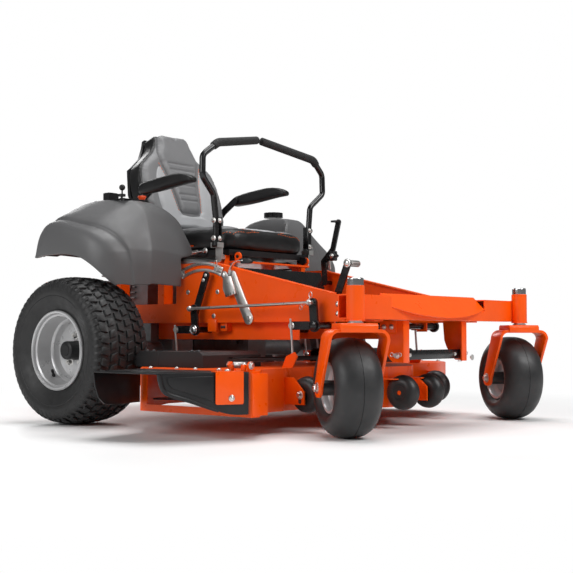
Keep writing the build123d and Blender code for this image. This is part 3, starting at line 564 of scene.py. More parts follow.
def lug(shape, turn, side):
    """One shoulder lug that wraps from the crown on to the side wall."""
    path = [(100, crown(100) - 2), (108, crown(104) + 5), (117, 256), (123.5, 246), (127, 234), (126, 228)]
    path = [(side * u, r) for u, r in path]
    half = 8.2 / TYRE_R
    part = bmesh.new()
    rings = []
    for k, (u, r) in enumerate(path):
        lean = side * 0.012 * k
        depth = 9.0 if 0 < k < len(path) - 1 else 3.0
        inside = (u - side * depth * 0.8, r - depth * 0.9)
        taper = 1.0 - 0.07 * k
        ring = [wheel_point(turn + lean - half * taper, r, u), wheel_point(turn + lean + half * taper, r, u),
                wheel_point(turn + lean + half, inside[1], inside[0]),
                wheel_point(turn + lean - half, inside[1], inside[0])]
        rings.append([part.verts.new(p) for p in ring])
    for a, b in zip(rings, rings[1:]):
        for i in range(4):
            n = (i + 1) % 4
            part.faces.new((a[i], a[n], b[n], b[i]))
    part.faces.new(rings[0])
    part.faces.new(rings[-1])
    shape.take(part, "tyre", 1.2, 1)


def quads(part, low, high):
    part.faces.new(low)
    part.faces.new(high)
    for k in range(4):
        n = (k + 1) % 4
        part.faces.new((low[k], low[n], high[n], high[k]))


def rear_rim():
    """Deep dish rim, with a drop centre, hub, nuts and valve. The outer side is towards -Y."""
    shape = Shape()
    centre = (0, -WHEEL_Y, TYRE_R)
    face = [(RIM_R + 3, -101), (RIM_R + 3, -107), (RIM_R - 1, -111), (RIM_R - 7, -110), (RIM_R - 10, -105),
            (RIM_R - 11, -99), (RIM_R - 17, -95), (RIM_R - 19, -88), (124, -46), (121, -38), (114, -34),
            (111, -28), (111, -16), (106, -9), (98, -8), (70, -13), (38, -13)]
    back = [(38, -9), (70, -9), (98, -4), (108, -5), (115, -14), (116, -30), (126, -42), (132, -60),
            (132, 96), (RIM_R - 4, 100), (RIM_R, 96), (RIM_R - 6, 80), (RIM_R - 10, -90)]
    shape.lathe("rim", face + back, centre, steps=72)
    hub = [(0.01, -64), (30, -64), (34, -61), (35, -56), (35, -12), (0.01, -12)]
    shape.lathe("plastic", hub, centre, steps=40)
    shape.lathe("plastic", [(0.01, -66), (21, -66), (23, -63.5), (0.01, -63.5)], centre, steps=40)
    axle = [(0.01, 300), (17.5, 300), (17.5, 60), (60, 50), (62, -9), (0.01, -9)]
    shape.lathe("cast", axle, centre, steps=32)
    for k in range(5):
        spot = wheel_point(radians(72 * k + 18), 56, -13)
        shape.bolt("zinc", spot, RIGHT, 19, 13)
        shape.tube("zinc", [spot, (spot[0], spot[1] - 19, spot[2])], 5, 12)
    valve = radians(232)
    root = Vector(wheel_point(valve, 123, -58))
    tip = Vector(wheel_point(valve, 96, -78))
    stem = [root, root.lerp(tip, 0.25), root.lerp(tip, 0.3), root.lerp(tip, 0.72), root.lerp(tip, 0.74), tip]
    shape.tube("plastic", stem, [7.5, 6.5, 4.6, 4.6, 6.0, 5.6], 14)
    return shape


pair(rear_tyre, "turf_tyre", "rear_wheel_{}", "rear_tyre")
pair(rear_rim, "dish_rim", "rear_wheel_{}", "rear_rim")


# ---- casters: built straight behind the stem, then turned ----
def placed(side):
    """Moves a caster piece from its own straight frame on to its stem."""
    turn = Matrix.Rotation(CASTER_TURN, 4, "Z")
    return Matrix.Translation((CASTER_STEM[0], side * CASTER_STEM[1], 0)) @ turn


def caster_fork():
    """Bent flat bar, round at the axle and wider at the crown, with a channel, a spindle and an axle bolt."""
    shape = Shape()
    bar = 11.0
    mid_y, crown_z, bend = 99.5, 351.0, 29.0
    eye_z, eye_r, crown_half = 165, 33, 42
    line = [(-mid_y, z) for z in (*range(134, 167, 4), 210, 260, 300, crown_z - bend)]
    corner = arc((-mid_y + bend, crown_z - bend), bend, 180, 90, 8)[1:]
    half_line = line + corner
    path = half_line + [(-y, z) for y, z in reversed(half_line)]
    rings = []
    for k, (y, z) in enumerate(path):
        prev, after = path[max(k - 1, 0)], path[min(k + 1, len(path) - 1)]
        out = Vector((0, -(after[1] - prev[1]), after[0] - prev[0])).normalized() * bar / 2
        if z <= eye_z:
            half, mid = max(4.0, sqrt(max(0.0, eye_r ** 2 - (eye_z - z) ** 2))), -CASTER_TRAIL
        else:
            t = min(1.0, (z - eye_z) / (crown_z - bend - eye_z))
            half, mid = eye_r + (crown_half - eye_r) * t, -CASTER_TRAIL * (1 - t)
        p = Vector((0, y, z))
        rings.append([Vector((mid + half, 0, 0)) + p + out, Vector((mid - half, 0, 0)) + p + out,
                      Vector((mid - half, 0, 0)) + p - out, Vector((mid + half, 0, 0)) + p - out])
    shape.loft("orange", rings, bevel=1.6)
    channel = [(-47, 346), (-47, 368), (-41, 376), (41, 376), (47, 368), (47, 346), (42.5, 346), (42.5, 357),
               (-42.5, 357), (-42.5, 346)]
    shape.prism("orange", channel, -66, 62, "XZ", 1.6)
    race = [(0.01, 376), (26, 376), (26, 380), (22, 380.5), (22, 384), (0.01, 384)]
    shape.lathe("zinc", race, (0, 0, 0), UP, 32)
    shape.tube("zinc", [(0, 0, 380), (0, 0, 504)], 12.7, 20)

    def on_axle(y):
        return (-CASTER_TRAIL, y, CASTER_R)

    for side in (-1, 1):
        shape.bolt("zinc", on_axle(side * 105), (0, side, 0), 22, 10)
        shape.tube("zinc", [on_axle(side * 104), on_axle(side * 119.5)], 7, 14)
    shape.tube("zinc", [on_axle(-104), on_axle(104)], 9.4, 16)
    return shape


def caster_tyre():
    """Smooth balloon tyre with one fine line round its middle."""
    shape = Shape()
    half = [(CASTER_R - 1.8, 0.7), (CASTER_R - 0.3, 1.6), (CASTER_R - 0.6, 16), (CASTER_R - 2.6, 32),
            (CASTER_R - 7.5, 48), (CASTER_R - 16, 62), (CASTER_R - 28, 73), (CASTER_R - 42, 80.5),
            (112, 82.5), (101, 78), (92, 70), (86, 60), (80, 56)]
    profile = [(r, -u) for r, u in reversed(half)] + half + [(78, 44), (130, 52), (130, -52), (78, -44)]
    return shape.lathe("caster", profile, (-CASTER_TRAIL, 0, CASTER_R), steps=96)


def caster_rim():
    shape = Shape()
    centre = (-CASTER_TRAIL, 0, CASTER_R)
    for side in (-1, 1):
        dish = [(82, 60), (84, 64), (82, 67), (76, 66), (73, 60), (72, 46), (64, 38), (58, 36), (54, 20),
                (44, 10), (24, 8), (24, 2), (50, 2), (62, 24), (74, 36), (80, 50)]
        shape.lathe("rim", [(r, side * u) for r, u in dish], centre, steps=64)
        cap = [(10, 6), (10, 92), (23, 92), (25, 89), (25, 6)]
        shape.lathe("steel", [(r, side * u) for r, u in cap], centre, steps=32)
    return shape


for build, name, body, cad in ((caster_fork, "bent_fork", "fork", "caster_fork"),
                               (caster_tyre, "smooth_tyre", "caster_wheel", "caster_tyre"),
                               (caster_rim, "caster_dish", "caster_wheel", "caster_rim")):
    for side, word in SIDES:
        shape = build()
        bmesh.ops.transform(shape.bm, matrix=placed(side), verts=shape.bm.verts)
        shape.make(f"{name}_{word}", f"{body}_{word}", replaces=[f"{cad}_{word}"])


# ---- fenders: a moulded shell drawn by the curves that run along it ----
def smooth_run(points, steps):
    """A Catmull-Rom run through the points, with the same count between each two."""
    pts = [Vector(p) for p in points]
    run = []
    for k in range(len(pts) - 1):
        a, b, c, d = pts[max(k - 1, 0)], pts[k], pts[k + 1], pts[min(k + 2, len(pts) - 1)]
        for i in range(steps):
            t = i / steps
            run.append(0.5 * (2 * b + (c - a) * t + (2 * a - 5 * b + 4 * c - d) * t * t
                              + (3 * b - a - 3 * c + d) * t ** 3))
    return run + [pts[-1]]


def fender():
    """Curves from the inner wall to the outer lip, each from the front's foot over the top to the rear."""
    inner_foot = [(206, -372, 528), (206, -372, 600), (206, -372, 640), (200, -312, 662), (178, -326, 700),
                  (140, -348, 700), (95, -372, 690), (10, -372, 680), (-75, -372, 672), (-150, -372, 665),
                  (-205, -372, 658), (-236, -380, 652)]
    inner_edge = [(215, -366, 528), (215, -365, 600), (214, -364, 642), (211, -301, 662), (190, -319, 735),
                  (158, -343, 805), (108, -405, 852), (20, -415, 866), (-70, -415, 862), (-150, -415, 838),
                  (-212, -415, 770), (-240, -415, 652)]
    inner_top = [(215, -390, 528), (215, -390, 600), (213, -390, 642), (209, -345, 664), (188, -360, 738),
                 (154, -380, 812), (104, -432, 858), (20, -440, 868), (-70, -440, 864), (-150, -440, 841),
                 (-213, -440, 772), (-240, -440, 652)]
    crease = [(214, -532, 528), (213, -532, 600), (210, -530, 645), (205, -528, 672), (181, -522, 740),
              (144, -512, 812), (92, -524, 852), (14, -546, 862), (-78, -572, 858), (-155, -592, 834),
              (-214, -602, 768), (-240, -612, 652)]
    step_top = [(206, -596, 528), (204, -606, 600), (198, -614, 645), (190, -622, 676), (164, -638, 712),
                (118, -655, 742), (62, -668, 762), (-10, -676, 778), (-90, -684, 796), (-160, -678, 790),
                (-216, -668, 744), (-240, -668, 652)]
    crease_in = [(min(x + 3, 215), y + 13, min(z + 6, 868)) for x, y, z in crease]
    step_low = [(x - 6, y - 4, z - (13 if z > 660 else 4)) for x, y, z in step_top]
    flare = [(192, -632, 528), (190, -652, 592), (181, -676, 634), (168, -692, 662), (138, -708, 694),
             (96, -717, 722), (46, -723, 741), (-22, -727, 758), (-98, -729, 772), (-166, -727, 770),
             (-218, -716, 726), (-238, -706, 652)]
    side = [(178, -656, 528), (166, -684, 568), (146, -706, 602), (128, -719, 628), (98, -728, 658),
            (62, -732, 684), (18, -734, 700), (-40, -735, 712), (-104, -735, 718), (-168, -734, 716),
            (-216, -724, 690), (-238, -716, 650)]
    lip = [(172, -662, 526), (154, -690, 552), (132, -712, 580), (112, -722, 598), (82, -730, 618),
           (46, -733, 634), (2, -734, 644), (-50, -735, 650), (-108, -735, 651), (-170, -734, 649),
           (-210, -728, 646), (-233, -723, 643)]
    under = [(164, -640, 528), (146, -664, 556), (124, -686, 586), (104, -698, 604), (76, -706, 624),
             (42, -710, 640), (0, -712, 650), (-50, -713, 655), (-108, -713, 656), (-168, -712, 654),
             (-206, -706, 651), (-226, -702, 648)]
    shape = Shape()
    part = bmesh.new()
    rows = []
    curves = (inner_foot, inner_edge, inner_top, crease_in, crease, step_top, step_low, flare, side, lip,
              under)
    for curve in curves:
        rows.append([part.verts.new(p) for p in smooth_run(curve, 5)])
    for a, b in zip(rows, rows[1:]):
        for k in range(len(a) - 1):
            part.faces.new((a[k], a[k + 1], b[k + 1], b[k]))
    layer = part.edges.layers.float.new("crease_edge")
    for row, hold in ((1, 0.7), (3, 0.5), (4, 0.8), (5, 0.9), (6, 0.8), (9, 0.6)):
        for k in range(len(rows[row]) - 1):
            edge = part.edges.get((rows[row][k], rows[row][k + 1]))
            edge[layer] = hold
    shape.looks.append("grey")
    data = bpy.data.meshes.new("part")
    part.to_mesh(data)
    part.free()
    shape.bm.from_mesh(data)
    return shape


for side, word in SIDES:
    shell = fender().make(f"moulded_fender_{word}", "chassis", replaces=[f"fender_{word}"], mirror=side > 0,
                          sharp=75, subdivide=2)
    wall = shell.modifiers.new("wall", "SOLIDIFY")
    wall.thickness = 4 * MM
    wall.offset = 1


# ---- padded seat ----
def puff(piece, cap, voxel=6.0, pressure=4.0, frames=20):
    """Swell a closed pad by cloth pressure, with every point held within cap millimetres."""
    remesh = piece.modifiers.new("remesh", "REMESH")
    remesh.mode = "VOXEL"
    remesh.voxel_size = voxel * MM
    bake(piece)
    relax(piece, 2)
    rest = [v.co.copy() for v in piece.data.vertices]
    cloth = piece.modifiers.new("cloth", "CLOTH")
    cloth.settings.quality = 4
    cloth.settings.use_pressure = True
    cloth.settings.uniform_pressure_force = pressure
    cloth.settings.effector_weights.gravity = 0
    cloth.settings.tension_stiffness = 18
    cloth.settings.bending_stiffness = 1.2
    scene = bpy.context.scene
    for k in range(1, frames + 1):
        scene.frame_set(k)
    bake(piece)
    scene.frame_set(1)
    for vert, start in zip(piece.data.vertices, rest):
        move = vert.co - start
        if move.length > cap * MM:
            vert.co = start + move.normalized() * cap * MM
    relax(piece, 3)
    return finish_pad(piece)


def bake(piece):
    """Apply the piece's modifiers to its mesh."""
    ready = piece.evaluated_get(bpy.context.evaluated_depsgraph_get())
    data = bpy.data.meshes.new_from_object(ready)
    piece.modifiers.clear()
    piece.data = data


def relax(piece, rounds):
    bm = bmesh.new()
    bm.from_mesh(piece.data)
    for _ in range(rounds):
        bmesh.ops.smooth_vert(bm, verts=bm.verts, factor=0.5, use_axis_x=True, use_axis_y=True,
                              use_axis_z=True)
    for face in bm.faces:
        face.smooth = True
    bm.to_mesh(piece.data)
    bm.free()


def finish_pad(piece):
    more = piece.modifiers.new("round", "SUBSURF")
    more.levels = more.render_levels = 1
    return piece


def mirrored(half):
    """A closed outline from its right half, given from the bottom up."""
    return [(-y, z) for y, z in half] + [(y, z) for y, z in reversed(half)]


def back_pad(finish, outline, front, rear, bevel):
    """A slab of the seat back with the outline in (y, up)."""
    shape = Shape()
    turn = Matrix(((cos(BACK_LEAN), 0, -sin(BACK_LEAN), SEAT_PIVOT[0]), (0, 1, 0, 0),
                   (sin(BACK_LEAN), 0, cos(BACK_LEAN), SEAT_PIVOT[1]), (0, 0, 0, 1)))
    return shape.prism(finish, outline, rear, front, "YZ", bevel, turn)


def curve_line(points, steps=5):
    """A smooth closed or open outline through (a, b) points."""
    return [(p.x, p.y) for p in smooth_run([(a, b, 0) for a, b in points], steps)]


BACK_EDGE = [(203, 4), (238, 90), (248, 200), (230, 300), (180, 352), (138, 388), (108, 430), (96, 462),
             (84, 474)]
RIBS = [(322, 74), (292, 70), (250, 62), (220, 58), (176, 50), (148, 46)]
RIB_DEPTH = 5.0
PRESSED_FROM = -9


def seat_back():
    """Outer band, main pad, light inset and ribbed centre panel, from the rear to the front."""
    edge = mirrored(curve_line(BACK_EDGE))
    band = back_pad("dark", edge, -24, -94, 9).make("back_band", "seat", replaces=["seat_back"])
    puff(band, 5)
    front_edge = [(y * 0.965, 6 + z * 0.975) for y, z in curve_line(BACK_EDGE)]
    pad = back_pad("mid", mirrored(front_edge), -14, -36, 7).make("back_pad", "seat")
    puff(pad, 9)
    inset = [(160, 10), (178, 90), (184, 180), (168, 262), (146, 306), (120, 316)]
    inset = curve_line(inset) + [(96, 250), (78, 160), (66, 112), (50, 92), (0, 88)]
    light = back_pad("light", mirrored(inset), -4, -24, 5).make("back_inset", "seat")
    puff(light, 8)
    spine = [(48, 82), (64, 100), (76, 160), (94, 250), (118, 322), (124, 366), (104, 424), (90, 458),
             (76, 468)]
    panel = back_pad("mid", mirrored(curve_line(spine)), 2, -24, 6).make("back_centre", "seat")
    puff(panel, 8)
    emboss(panel)
    return [pad, light, panel]


def emboss(panel):
    """Press the cross ribs of the centre panel into its front."""
    c, s = cos(BACK_LEAN), sin(BACK_LEAN)
    for vert in panel.data.vertices:
        p = mm(vert.co)
        dx, dz = p.x - SEAT_PIVOT[0], p.z - SEAT_PIVOT[1]
        depth, up = dx * c + dz * s, dz * c - dx * s
        if depth < PRESSED_FROM:
            continue
        press = 0.0
        for line, half in RIBS:
            beyond = max(0.0, abs(p.y) - half)
            press += RIB_DEPTH * exp(-((up - line) / 3.6) ** 2 - (beyond / 5) ** 2)
        vert.co = at(p.x - press * c, p.y, p.z - press * s)


def seat_cushion():
    """Dark boxing with a light centre pad and two bolsters on it."""
    plan = [(-66, 226), (-30, 244), (120, 248), (300, 244), (352, 222), (374, 170), (380, 60), (380, 0)]
    plan = curve_line(plan, 4)
    plan = [(x, -y) for x, y in plan] + [(x, y) for x, y in reversed(plan)]
    rings = []
    for z, grow in ((678, -14), (684, -4), (712, 0), (738, -2), (752, -12), (757, -26)):
        rings.append([(x + (grow if x > 150 else -grow * 0.3), y * (1 + grow / 250), z + swell(x, y, z))
                      for x, y in plan])
    base = Shape().loft("dark", rings).make("cushion_boxing", "seat", replaces=["seat_cushion"])
    puff(base, 8, voxel=7)
    centre = [(-50, -118), (-50, 118), (180, 126), (330, 118), (344, 60), (344, -60), (330, -118),
              (180, -126)]
    pads = [base, Shape().prism("light", centre, 742, 764, "XY", 6).make("cushion_centre", "seat")]
    bolster = [(-50, 128), (180, 136), (320, 130), (336, 150), (326, 196), (290, 214), (120, 220), (-40, 212)]
    for side, word in SIDES:
        outline = [(x, side * y) for x, y in bolster]
        pads.append(Shape().prism("mid", outline, 744, 768, "XY", 7).make(f"cushion_bolster_{word}", "seat"))
    for pad in pads[1:]:
        puff(pad, 9)
    return pads


def swell(x, y, z):
    """The cushion's edge rises a little at its rear corners and dips at the front middle."""
    if z < 730:
        return 0.0
    return 6.0 * (1 - x / 380) * (abs(y) / 248) ** 2


def armrest():
    """Padded armrest with a rolled top."""
    stations = [(-96, 926, 955, 21), (-88, 922, 968, 24), (-40, 924, 979, 25), (30, 929, 986, 25),
                (104, 939, 995, 25), (170, 947, 988, 24.5), (204, 948, 974, 22), (215, 952, 966, 12)]
    rings = []
    for x, low, high, half in stations:
        z, tall = (low + high) / 2, (high - low) / 2
        ring = superellipse(half, tall, 3.0, 24)
        rings.append([(x, -288 + a, z + b) for a, b in ring])
    return Shape().loft("dark", rings, bevel=3)


def stitches(name, pads, route, aim, finish="thread", long=8.0, gap=5.0):
    """A run of thread dashes dropped on to the pads. route is in millimetres, aim the way they fall."""
    trees = []
    for pad in pads:
        trees.append(BVHTree.FromObject(pad, bpy.context.evaluated_depsgraph_get()))
    aim = Vector(aim).normalized()
    spots = []
    walked = 0.0
    for a, b in zip(route, route[1:]):
        a, b = Vector(a), Vector(b)
        span = (b - a).length
        while walked < span:
            spots.append((a.lerp(b, walked / span), a.lerp(b, min(1.0, (walked + long) / span))))
            walked += long + gap
        walked -= span
    shape = Shape()
    for ends in spots:
        landed = []
        for end in ends:
            hits = [tree.ray_cast(at(*end), aim) for tree in trees]
            hits = [hit[0] for hit in hits if hit[0] is not None]
            if hits:
                landed.append(mm(min(hits, key=lambda p: (p - at(*end)).length)))
        if len(landed) == 2 and 1 < (landed[1] - landed[0]).length < 2.5 * long:
            lift = -aim * 0.2
            shape.tube(finish, [landed[0] + lift, landed[0].lerp(landed[1], 0.5) - aim * 0.7,
                                landed[1] + lift], 1.0, 6)
    if shape.looks:
        shape.make(name, "seat", slot="seat_vinyl")


def sew(back, cushion):
    """Thread along the cushion's insets and the back's panels."""
    c, s = cos(BACK_LEAN), sin(BACK_LEAN)

    def lean(y, up, depth=60):
        return (SEAT_PIVOT[0] + depth * c - up * s, y, SEAT_PIVOT[1] + depth * s + up * c)

    for side, word in SIDES:
        top = curve_line([(-40, side * 123), (170, side * 131), (322, side * 124), (352, side * 80)], 5)
        stitches(f"cushion_thread_{word}", cushion, [(x, y, 830) for x, y in top], (0, 0, -1))
        crest = [(x, side * y, 830) for x, y in ((356, 60), (362, 140), (350, 205), (310, 232))]
        stitches(f"crest_thread_{word}", cushion, crest, (0, 0, -1))
        spine = [(side * (y + 5), z) for y, z in curve_line([(64, 100), (76, 160), (94, 250), (118, 322)], 5)]
        stitches(f"back_thread_{word}", back, [lean(y, z) for y, z in spine], (-c, 0, -s))


back_pads = seat_back()
cushion_pads = seat_cushion()
sew(back_pads, cushion_pads)
for side, word in SIDES:
    pad = armrest().make(f"arm_pad_{word}", f"arm_{word}", replaces=[f"armrest_{word}"], mirror=side > 0,
                         subdivide=1)


# ---- control levers ----
LEVER_ROUTE = [(334, -288, 690), (334, -288, 790), (332, -301, 890), (343, -374, 952), (342, -372, 1037),
               (349, -319, 1076)]
GRIP_ROUTE = [(349, -319, 1076), (352, -296.3, 1092.7), (303, -16, 1143)]


def control_lever():
    """Cranked lever tube with its clamp plate and bolts."""
    shape = Shape()
    path = rounded(LEVER_ROUTE, 34, 8)
    shape.tube("black", path, 12.5, 20)
    shape.tube("black", [(319, -288, 690), (349, -288, 690)], 9, 20)
    plate = [(320, 694), (348, 694), (348, 800), (320, 800)]
    shape.prism("black", plate, -273, -268, "XZ", 1.0)
    for z in (716, 786):
        shape.bolt("zinc", (334, -301, z), RIGHT, 13, 7)
        shape.bolt("zinc", (347, -280, z), AHEAD, 12, 6, round_head=True)
    return shape


def lever_grip():
    shape = Shape()
    path = rounded(GRIP_ROUTE, 50, 10)
    ends = [16.2] + [17.0] * (len(path) - 2) + [16.4]
    shape.tube("foam", path, ends, 24)
    tip = unit(path[-2], path[-1])
    shape.lathe("foam", [(0.01, -4), (16.4, -4), (15.6, 1.2), (12.5, 3.2), (0.01, 4)], path[-1], tip, 24)
    start = unit(path[1], path[0])
    shape.lathe("foam", [(12, -2), (16.2, -2), (15.6, 1.4), (12.6, 2)], path[0], start, 24)
    return shape


pair(control_lever, "lever_tube", "drive_lever_{}", "control_lever")
pair(lever_grip, "foam_grip", "drive_lever_{}", "lever_grip")


# ---- deck: chute, rollers, fittings and hangers ----
def capsule(a, b, width, steps=8):
    """Outline of a flat bar with round ends, between two (x, z) points."""
    turn = atan2(b[1] - a[1], b[0] - a[0]) * 180 / pi
    return arc(a, width / 2, turn + 90, turn + 270, steps) + arc(b, width / 2, turn - 90, turn + 90, steps)


def ring(shape, finish, centre, axis, radius, wire, steps=24):
    """A wire ring about an axis."""
    profile = [(radius + wire * cos(2 * pi * k / 8), wire * sin(2 * pi * k / 8)) for k in range(8)]
    return shape.lathe(finish, profile, centre, axis, steps)


def wall_frame(root, tip):
    """Turns a plate drawn in (along, across, up) so that it stands from root to tip in plan."""
    along = (Vector((*tip, 0)) - Vector((*root, 0))).normalized()
    return Matrix(((along.x, -along.y, 0, root[0]), (along.y, along.x, 0, root[1]), (0, 0, 1, 0),
                   (0, 0, 0, 1)))


def chute():
    """Moulded deflector: lid, curved front wall with a rolled edge, rear wall and the plate behind it."""
    shape = Shape()
    lid = [(440, -781), (516, -1050), (530, -1061), (822, -1061), (834, -1050), (957, -781)]
    shape.prism("plastic", lid, 215.5, 220, "XY", 1.6)
    inset = [(486, -812), (548, -1030), (806, -1030), (905, -812)]
    shape.prism("plastic", inset, 219, 222, "XY", 1.2)
    turn = wall_frame((954, -782), (828, -1058))
    edge = curve_line([(300, 216), (297, 196), (289, 172), (276, 158), (252, 148), (200, 132), (120, 102),
                       (60, 86), (0, 84)], 4)
    shape.prism("plastic", edge + [(0, 216)], -2, 3, "XZ", 1.0, turn)
    roll = [turn @ Vector((a, 1, z)) for a, z in edge[:26]]
    shape.tube("plastic", roll, [8.0] * 18 + [8.0 - 0.7 * k for k in range(8)], 12)
    panel = curve_line([(276, 207), (274, 192), (264, 177), (242, 167), (190, 151), (122, 128)], 4)
    shape.prism("plastic", panel + [(122, 209)], 2, 7, "XZ", 2.4, turn)
    back = wall_frame((440, -782), (519, -1058))
    rear = [(0, 216), (0, 104), (170, 104), (222, 110), (256, 132), (276, 170), (286, 216)]
    shape.prism("plastic", rear, -2, 3, "XZ", 1.0, back)
    plate = [(24, 118), (20, 122), (20, 223), (116, 223), (116, 122), (112, 118)]
    shape.prism("orange", plate, 7, 10, "XZ", 1.0, turn)
    shape.prism("orange", [(20, 220), (20, 223.5), (116, 223.5), (116, 220)], -34, 10, "XZ", 1.0, turn)
    across = turn.to_3x3() @ Vector(ACROSS)
    shape.bolt("zinc", turn @ Vector((62, 10, 138)), across, 12, 6, round_head=True)
    shape.bolt("zinc", turn @ Vector((66, -16, 223)), UP, 12, 5, round_head=True)
    for x in (873, 927):
        shape.box("orange", (x, -789, 218), (x + 12, -776, 243), 1.0)
    shape.tube("zinc", [(872, -768, 240), (940, -768, 240)], 5.8, 16)
    spring = [(880, -790, 226)]
    steps, steps_a_turn, long, coil_r = 144, 16, 52, 8.6
    for k in range(steps + 1):
        angle = 2 * pi * k / steps_a_turn
        spring.append((880 + long * k / steps, -768 + coil_r * cos(angle), 240 + coil_r * sin(angle)))
    shape.tube("zinc", spring + [(932, -786, 228)], 1.9, 8)
    return shape


def roller(x, y):
    """A rounded anti-scalp wheel with a sunken hub."""
    profile = [(9, -27), (24, -27), (26, -30), (38, -31), (49, -28), (57, -21), (62, -11), (63.8, 0)]
    profile += [(r, -u) for r, u in reversed(profile[:-1])]
    return Shape().lathe("rubber", profile, (x, y, 130), steps=56)


def deck_fittings():
    """Bolts, fold lines and webs that the deck carries on one side."""
    shape = Shape()
    for x, y in ((897, -454.4), (1075, -46.2)):
        shape.bolt("zinc", (x, y, 130), RIGHT, 17, 9)
        shape.prism("steel", capsule((x, 112), (x, 106), 13), y - 0.4, y + 0.4, "XZ", 0)
    for x in (470, 600, 690, 800):
        shape.bolt("zinc", (x, -757, 222), UP, 11, 5, round_head=True)
    shape.box("orange", (958, -774, 78), (966, -700, 214), 1.5)
    for x, out in ((858, -1), (954, 1)):
        shape.bolt("zinc", (x, -768, 240), (out, 0, 0), 15, 6)
    nose = [(1000, -126), (1052, -126), (1074, -120), (1074, -40), (1000, -30)]
    shape.prism("orange", nose, 176, 181, "XY", 1.0)
    for x in (326, 360, 556, 590):
        shape.bolt("steel", (x, -640, 279), UP, 12, 4, round_head=True)
    shape.box("cover", (402, -661, 224), (407, -360, 281), 1.2)
    return shape


def hangers():
    """Deck hanger rods with their eyes and threaded tops, on one side."""
    shape = Shape()
    for x_eye, z_eye, x_top, z_top in ((233, 250, 218, 376), (818, 254, 807, 396)):
        eye, top = Vector((x_eye, -397, z_eye)), Vector((x_top, -397, z_top))
        way = (top - eye).normalized()
        ring(shape, "zinc", eye, ACROSS, 9.5, 3.9)
        shape.tube("zinc", [eye + way * 9, eye + way * 20, top], [4.6, 4.3, 4.0], 14)
        for k in range(16):
            shape.lathe("zinc", [(3.5, -0.5), (4.4, 0), (3.5, 0.5)], top - way * (2 + 1.6 * k), way, 12)
        shape.bolt("zinc", eye + Vector((0, -4, 0)), RIGHT, 10, 4)
    return shape


chute().make("side_deflector", "chute", replaces=["discharge_chute"], slot="black_plastic")
pair(lambda: roller(897, -410), "scalp_wheel", "scalp_roller_{}", "roller")
pair(deck_fittings, "deck_fittings", "deck", slot="orange_paint")
roller(1075, -83).both().make("nose_wheels", "nose_rollers", replaces=["front_rollers"])
hangers().both().make("hangers", "deck", replaces=["hanger_rods"])


# ---- front end ----
def hairpin(shape, x, y, z, out):
    """A clevis pin's head with a bow-shaped wire clip through it."""
    shape.lathe("zinc", [(0.01, 0), (10.5, 0), (10.5, 3), (8.6, 5), (8.6, 12), (7.4, 13.5), (0.01, 13.5)],
                (x, y, z), (0, out, 0), 24)
    clip = y + out * 9.5
    for way in (-1, 1):
        ring(shape, "zinc", (x + way * 17, clip, z + 3), ACROSS, 6.5, 1.5, 20)
        shape.tube("zinc", [(x + way * 11, clip, z - 1), (x - way * 2, clip, z - 2)], 1.5, 8)


def front_hangers():
    """Hanging webs under the beam with their flanges, bolts and pins, and the black bar between them."""
    shape = Shape()
    web = [(1062, 388), (1068, 318), (1078, 292), (1106, 252), (1116, 244), (1164, 241), (1164, 388)]
    shape.prism("orange", web, -211, -205.5, "XZ", 1.2)
    shape.box("orange", (1159, -208, 241), (1165, -175, 388), 1.4)
    shape.prism("orange", [(1066, 346), (1070, 340), (1132, 340), (1136, 346), (1136, 389), (1066, 389)],
                -214, -210, "XZ", 1.0)
    for x in (1084, 1116):
        shape.bolt("zinc", (x, -214, 366), RIGHT, 11, 5, round_head=True)
    hairpin(shape, 1138, -211, 266, -1)
    shape = shape.both()
    shape.box("black", (1126, -205, 250), (1150, 205, 284), 2.0)
    for y in (-150, 150):
        shape.bolt("zinc", (1150, y, 267), AHEAD, 8, 4, round_head=True)
    return shape


def beam_fittings():
    """Bolts on the rails' front ends, a collar under each caster tube and a grab loop beside it."""
    shape = Shape()
    for z in (446, 412):
        shape.bolt("zinc", (980, PANEL_Y - 0.5, z), RIGHT, 11, 5, round_head=True)
    shape.lathe("orange", [(29, 0), (32, 0), (31.5, 3), (29, 4)], (1205, -545, 384), UP, 40)
    for z in (391, 471):
        shape.tube("orange", [(1186, -522, z), (1186, -512, z)], 2.2, 8)
    shape.tube("orange", [(1184, -517, 392), (1184, -517, 470)], 2.6, 10)
    shape.bolt("zinc", (1110, PANEL_Y, 404), RIGHT, 10, 4, round_head=True)
    return shape


front_hangers().make("front_hangers", "chassis", replaces=["front_brackets"], slot="orange_paint")
beam_fittings().both().make("beam_fittings", "chassis", slot="orange_paint")


# ---- deck lift linkage ----
CRANKS = (("rear_lift", 318, 358), ("front_lift", 907, 371))


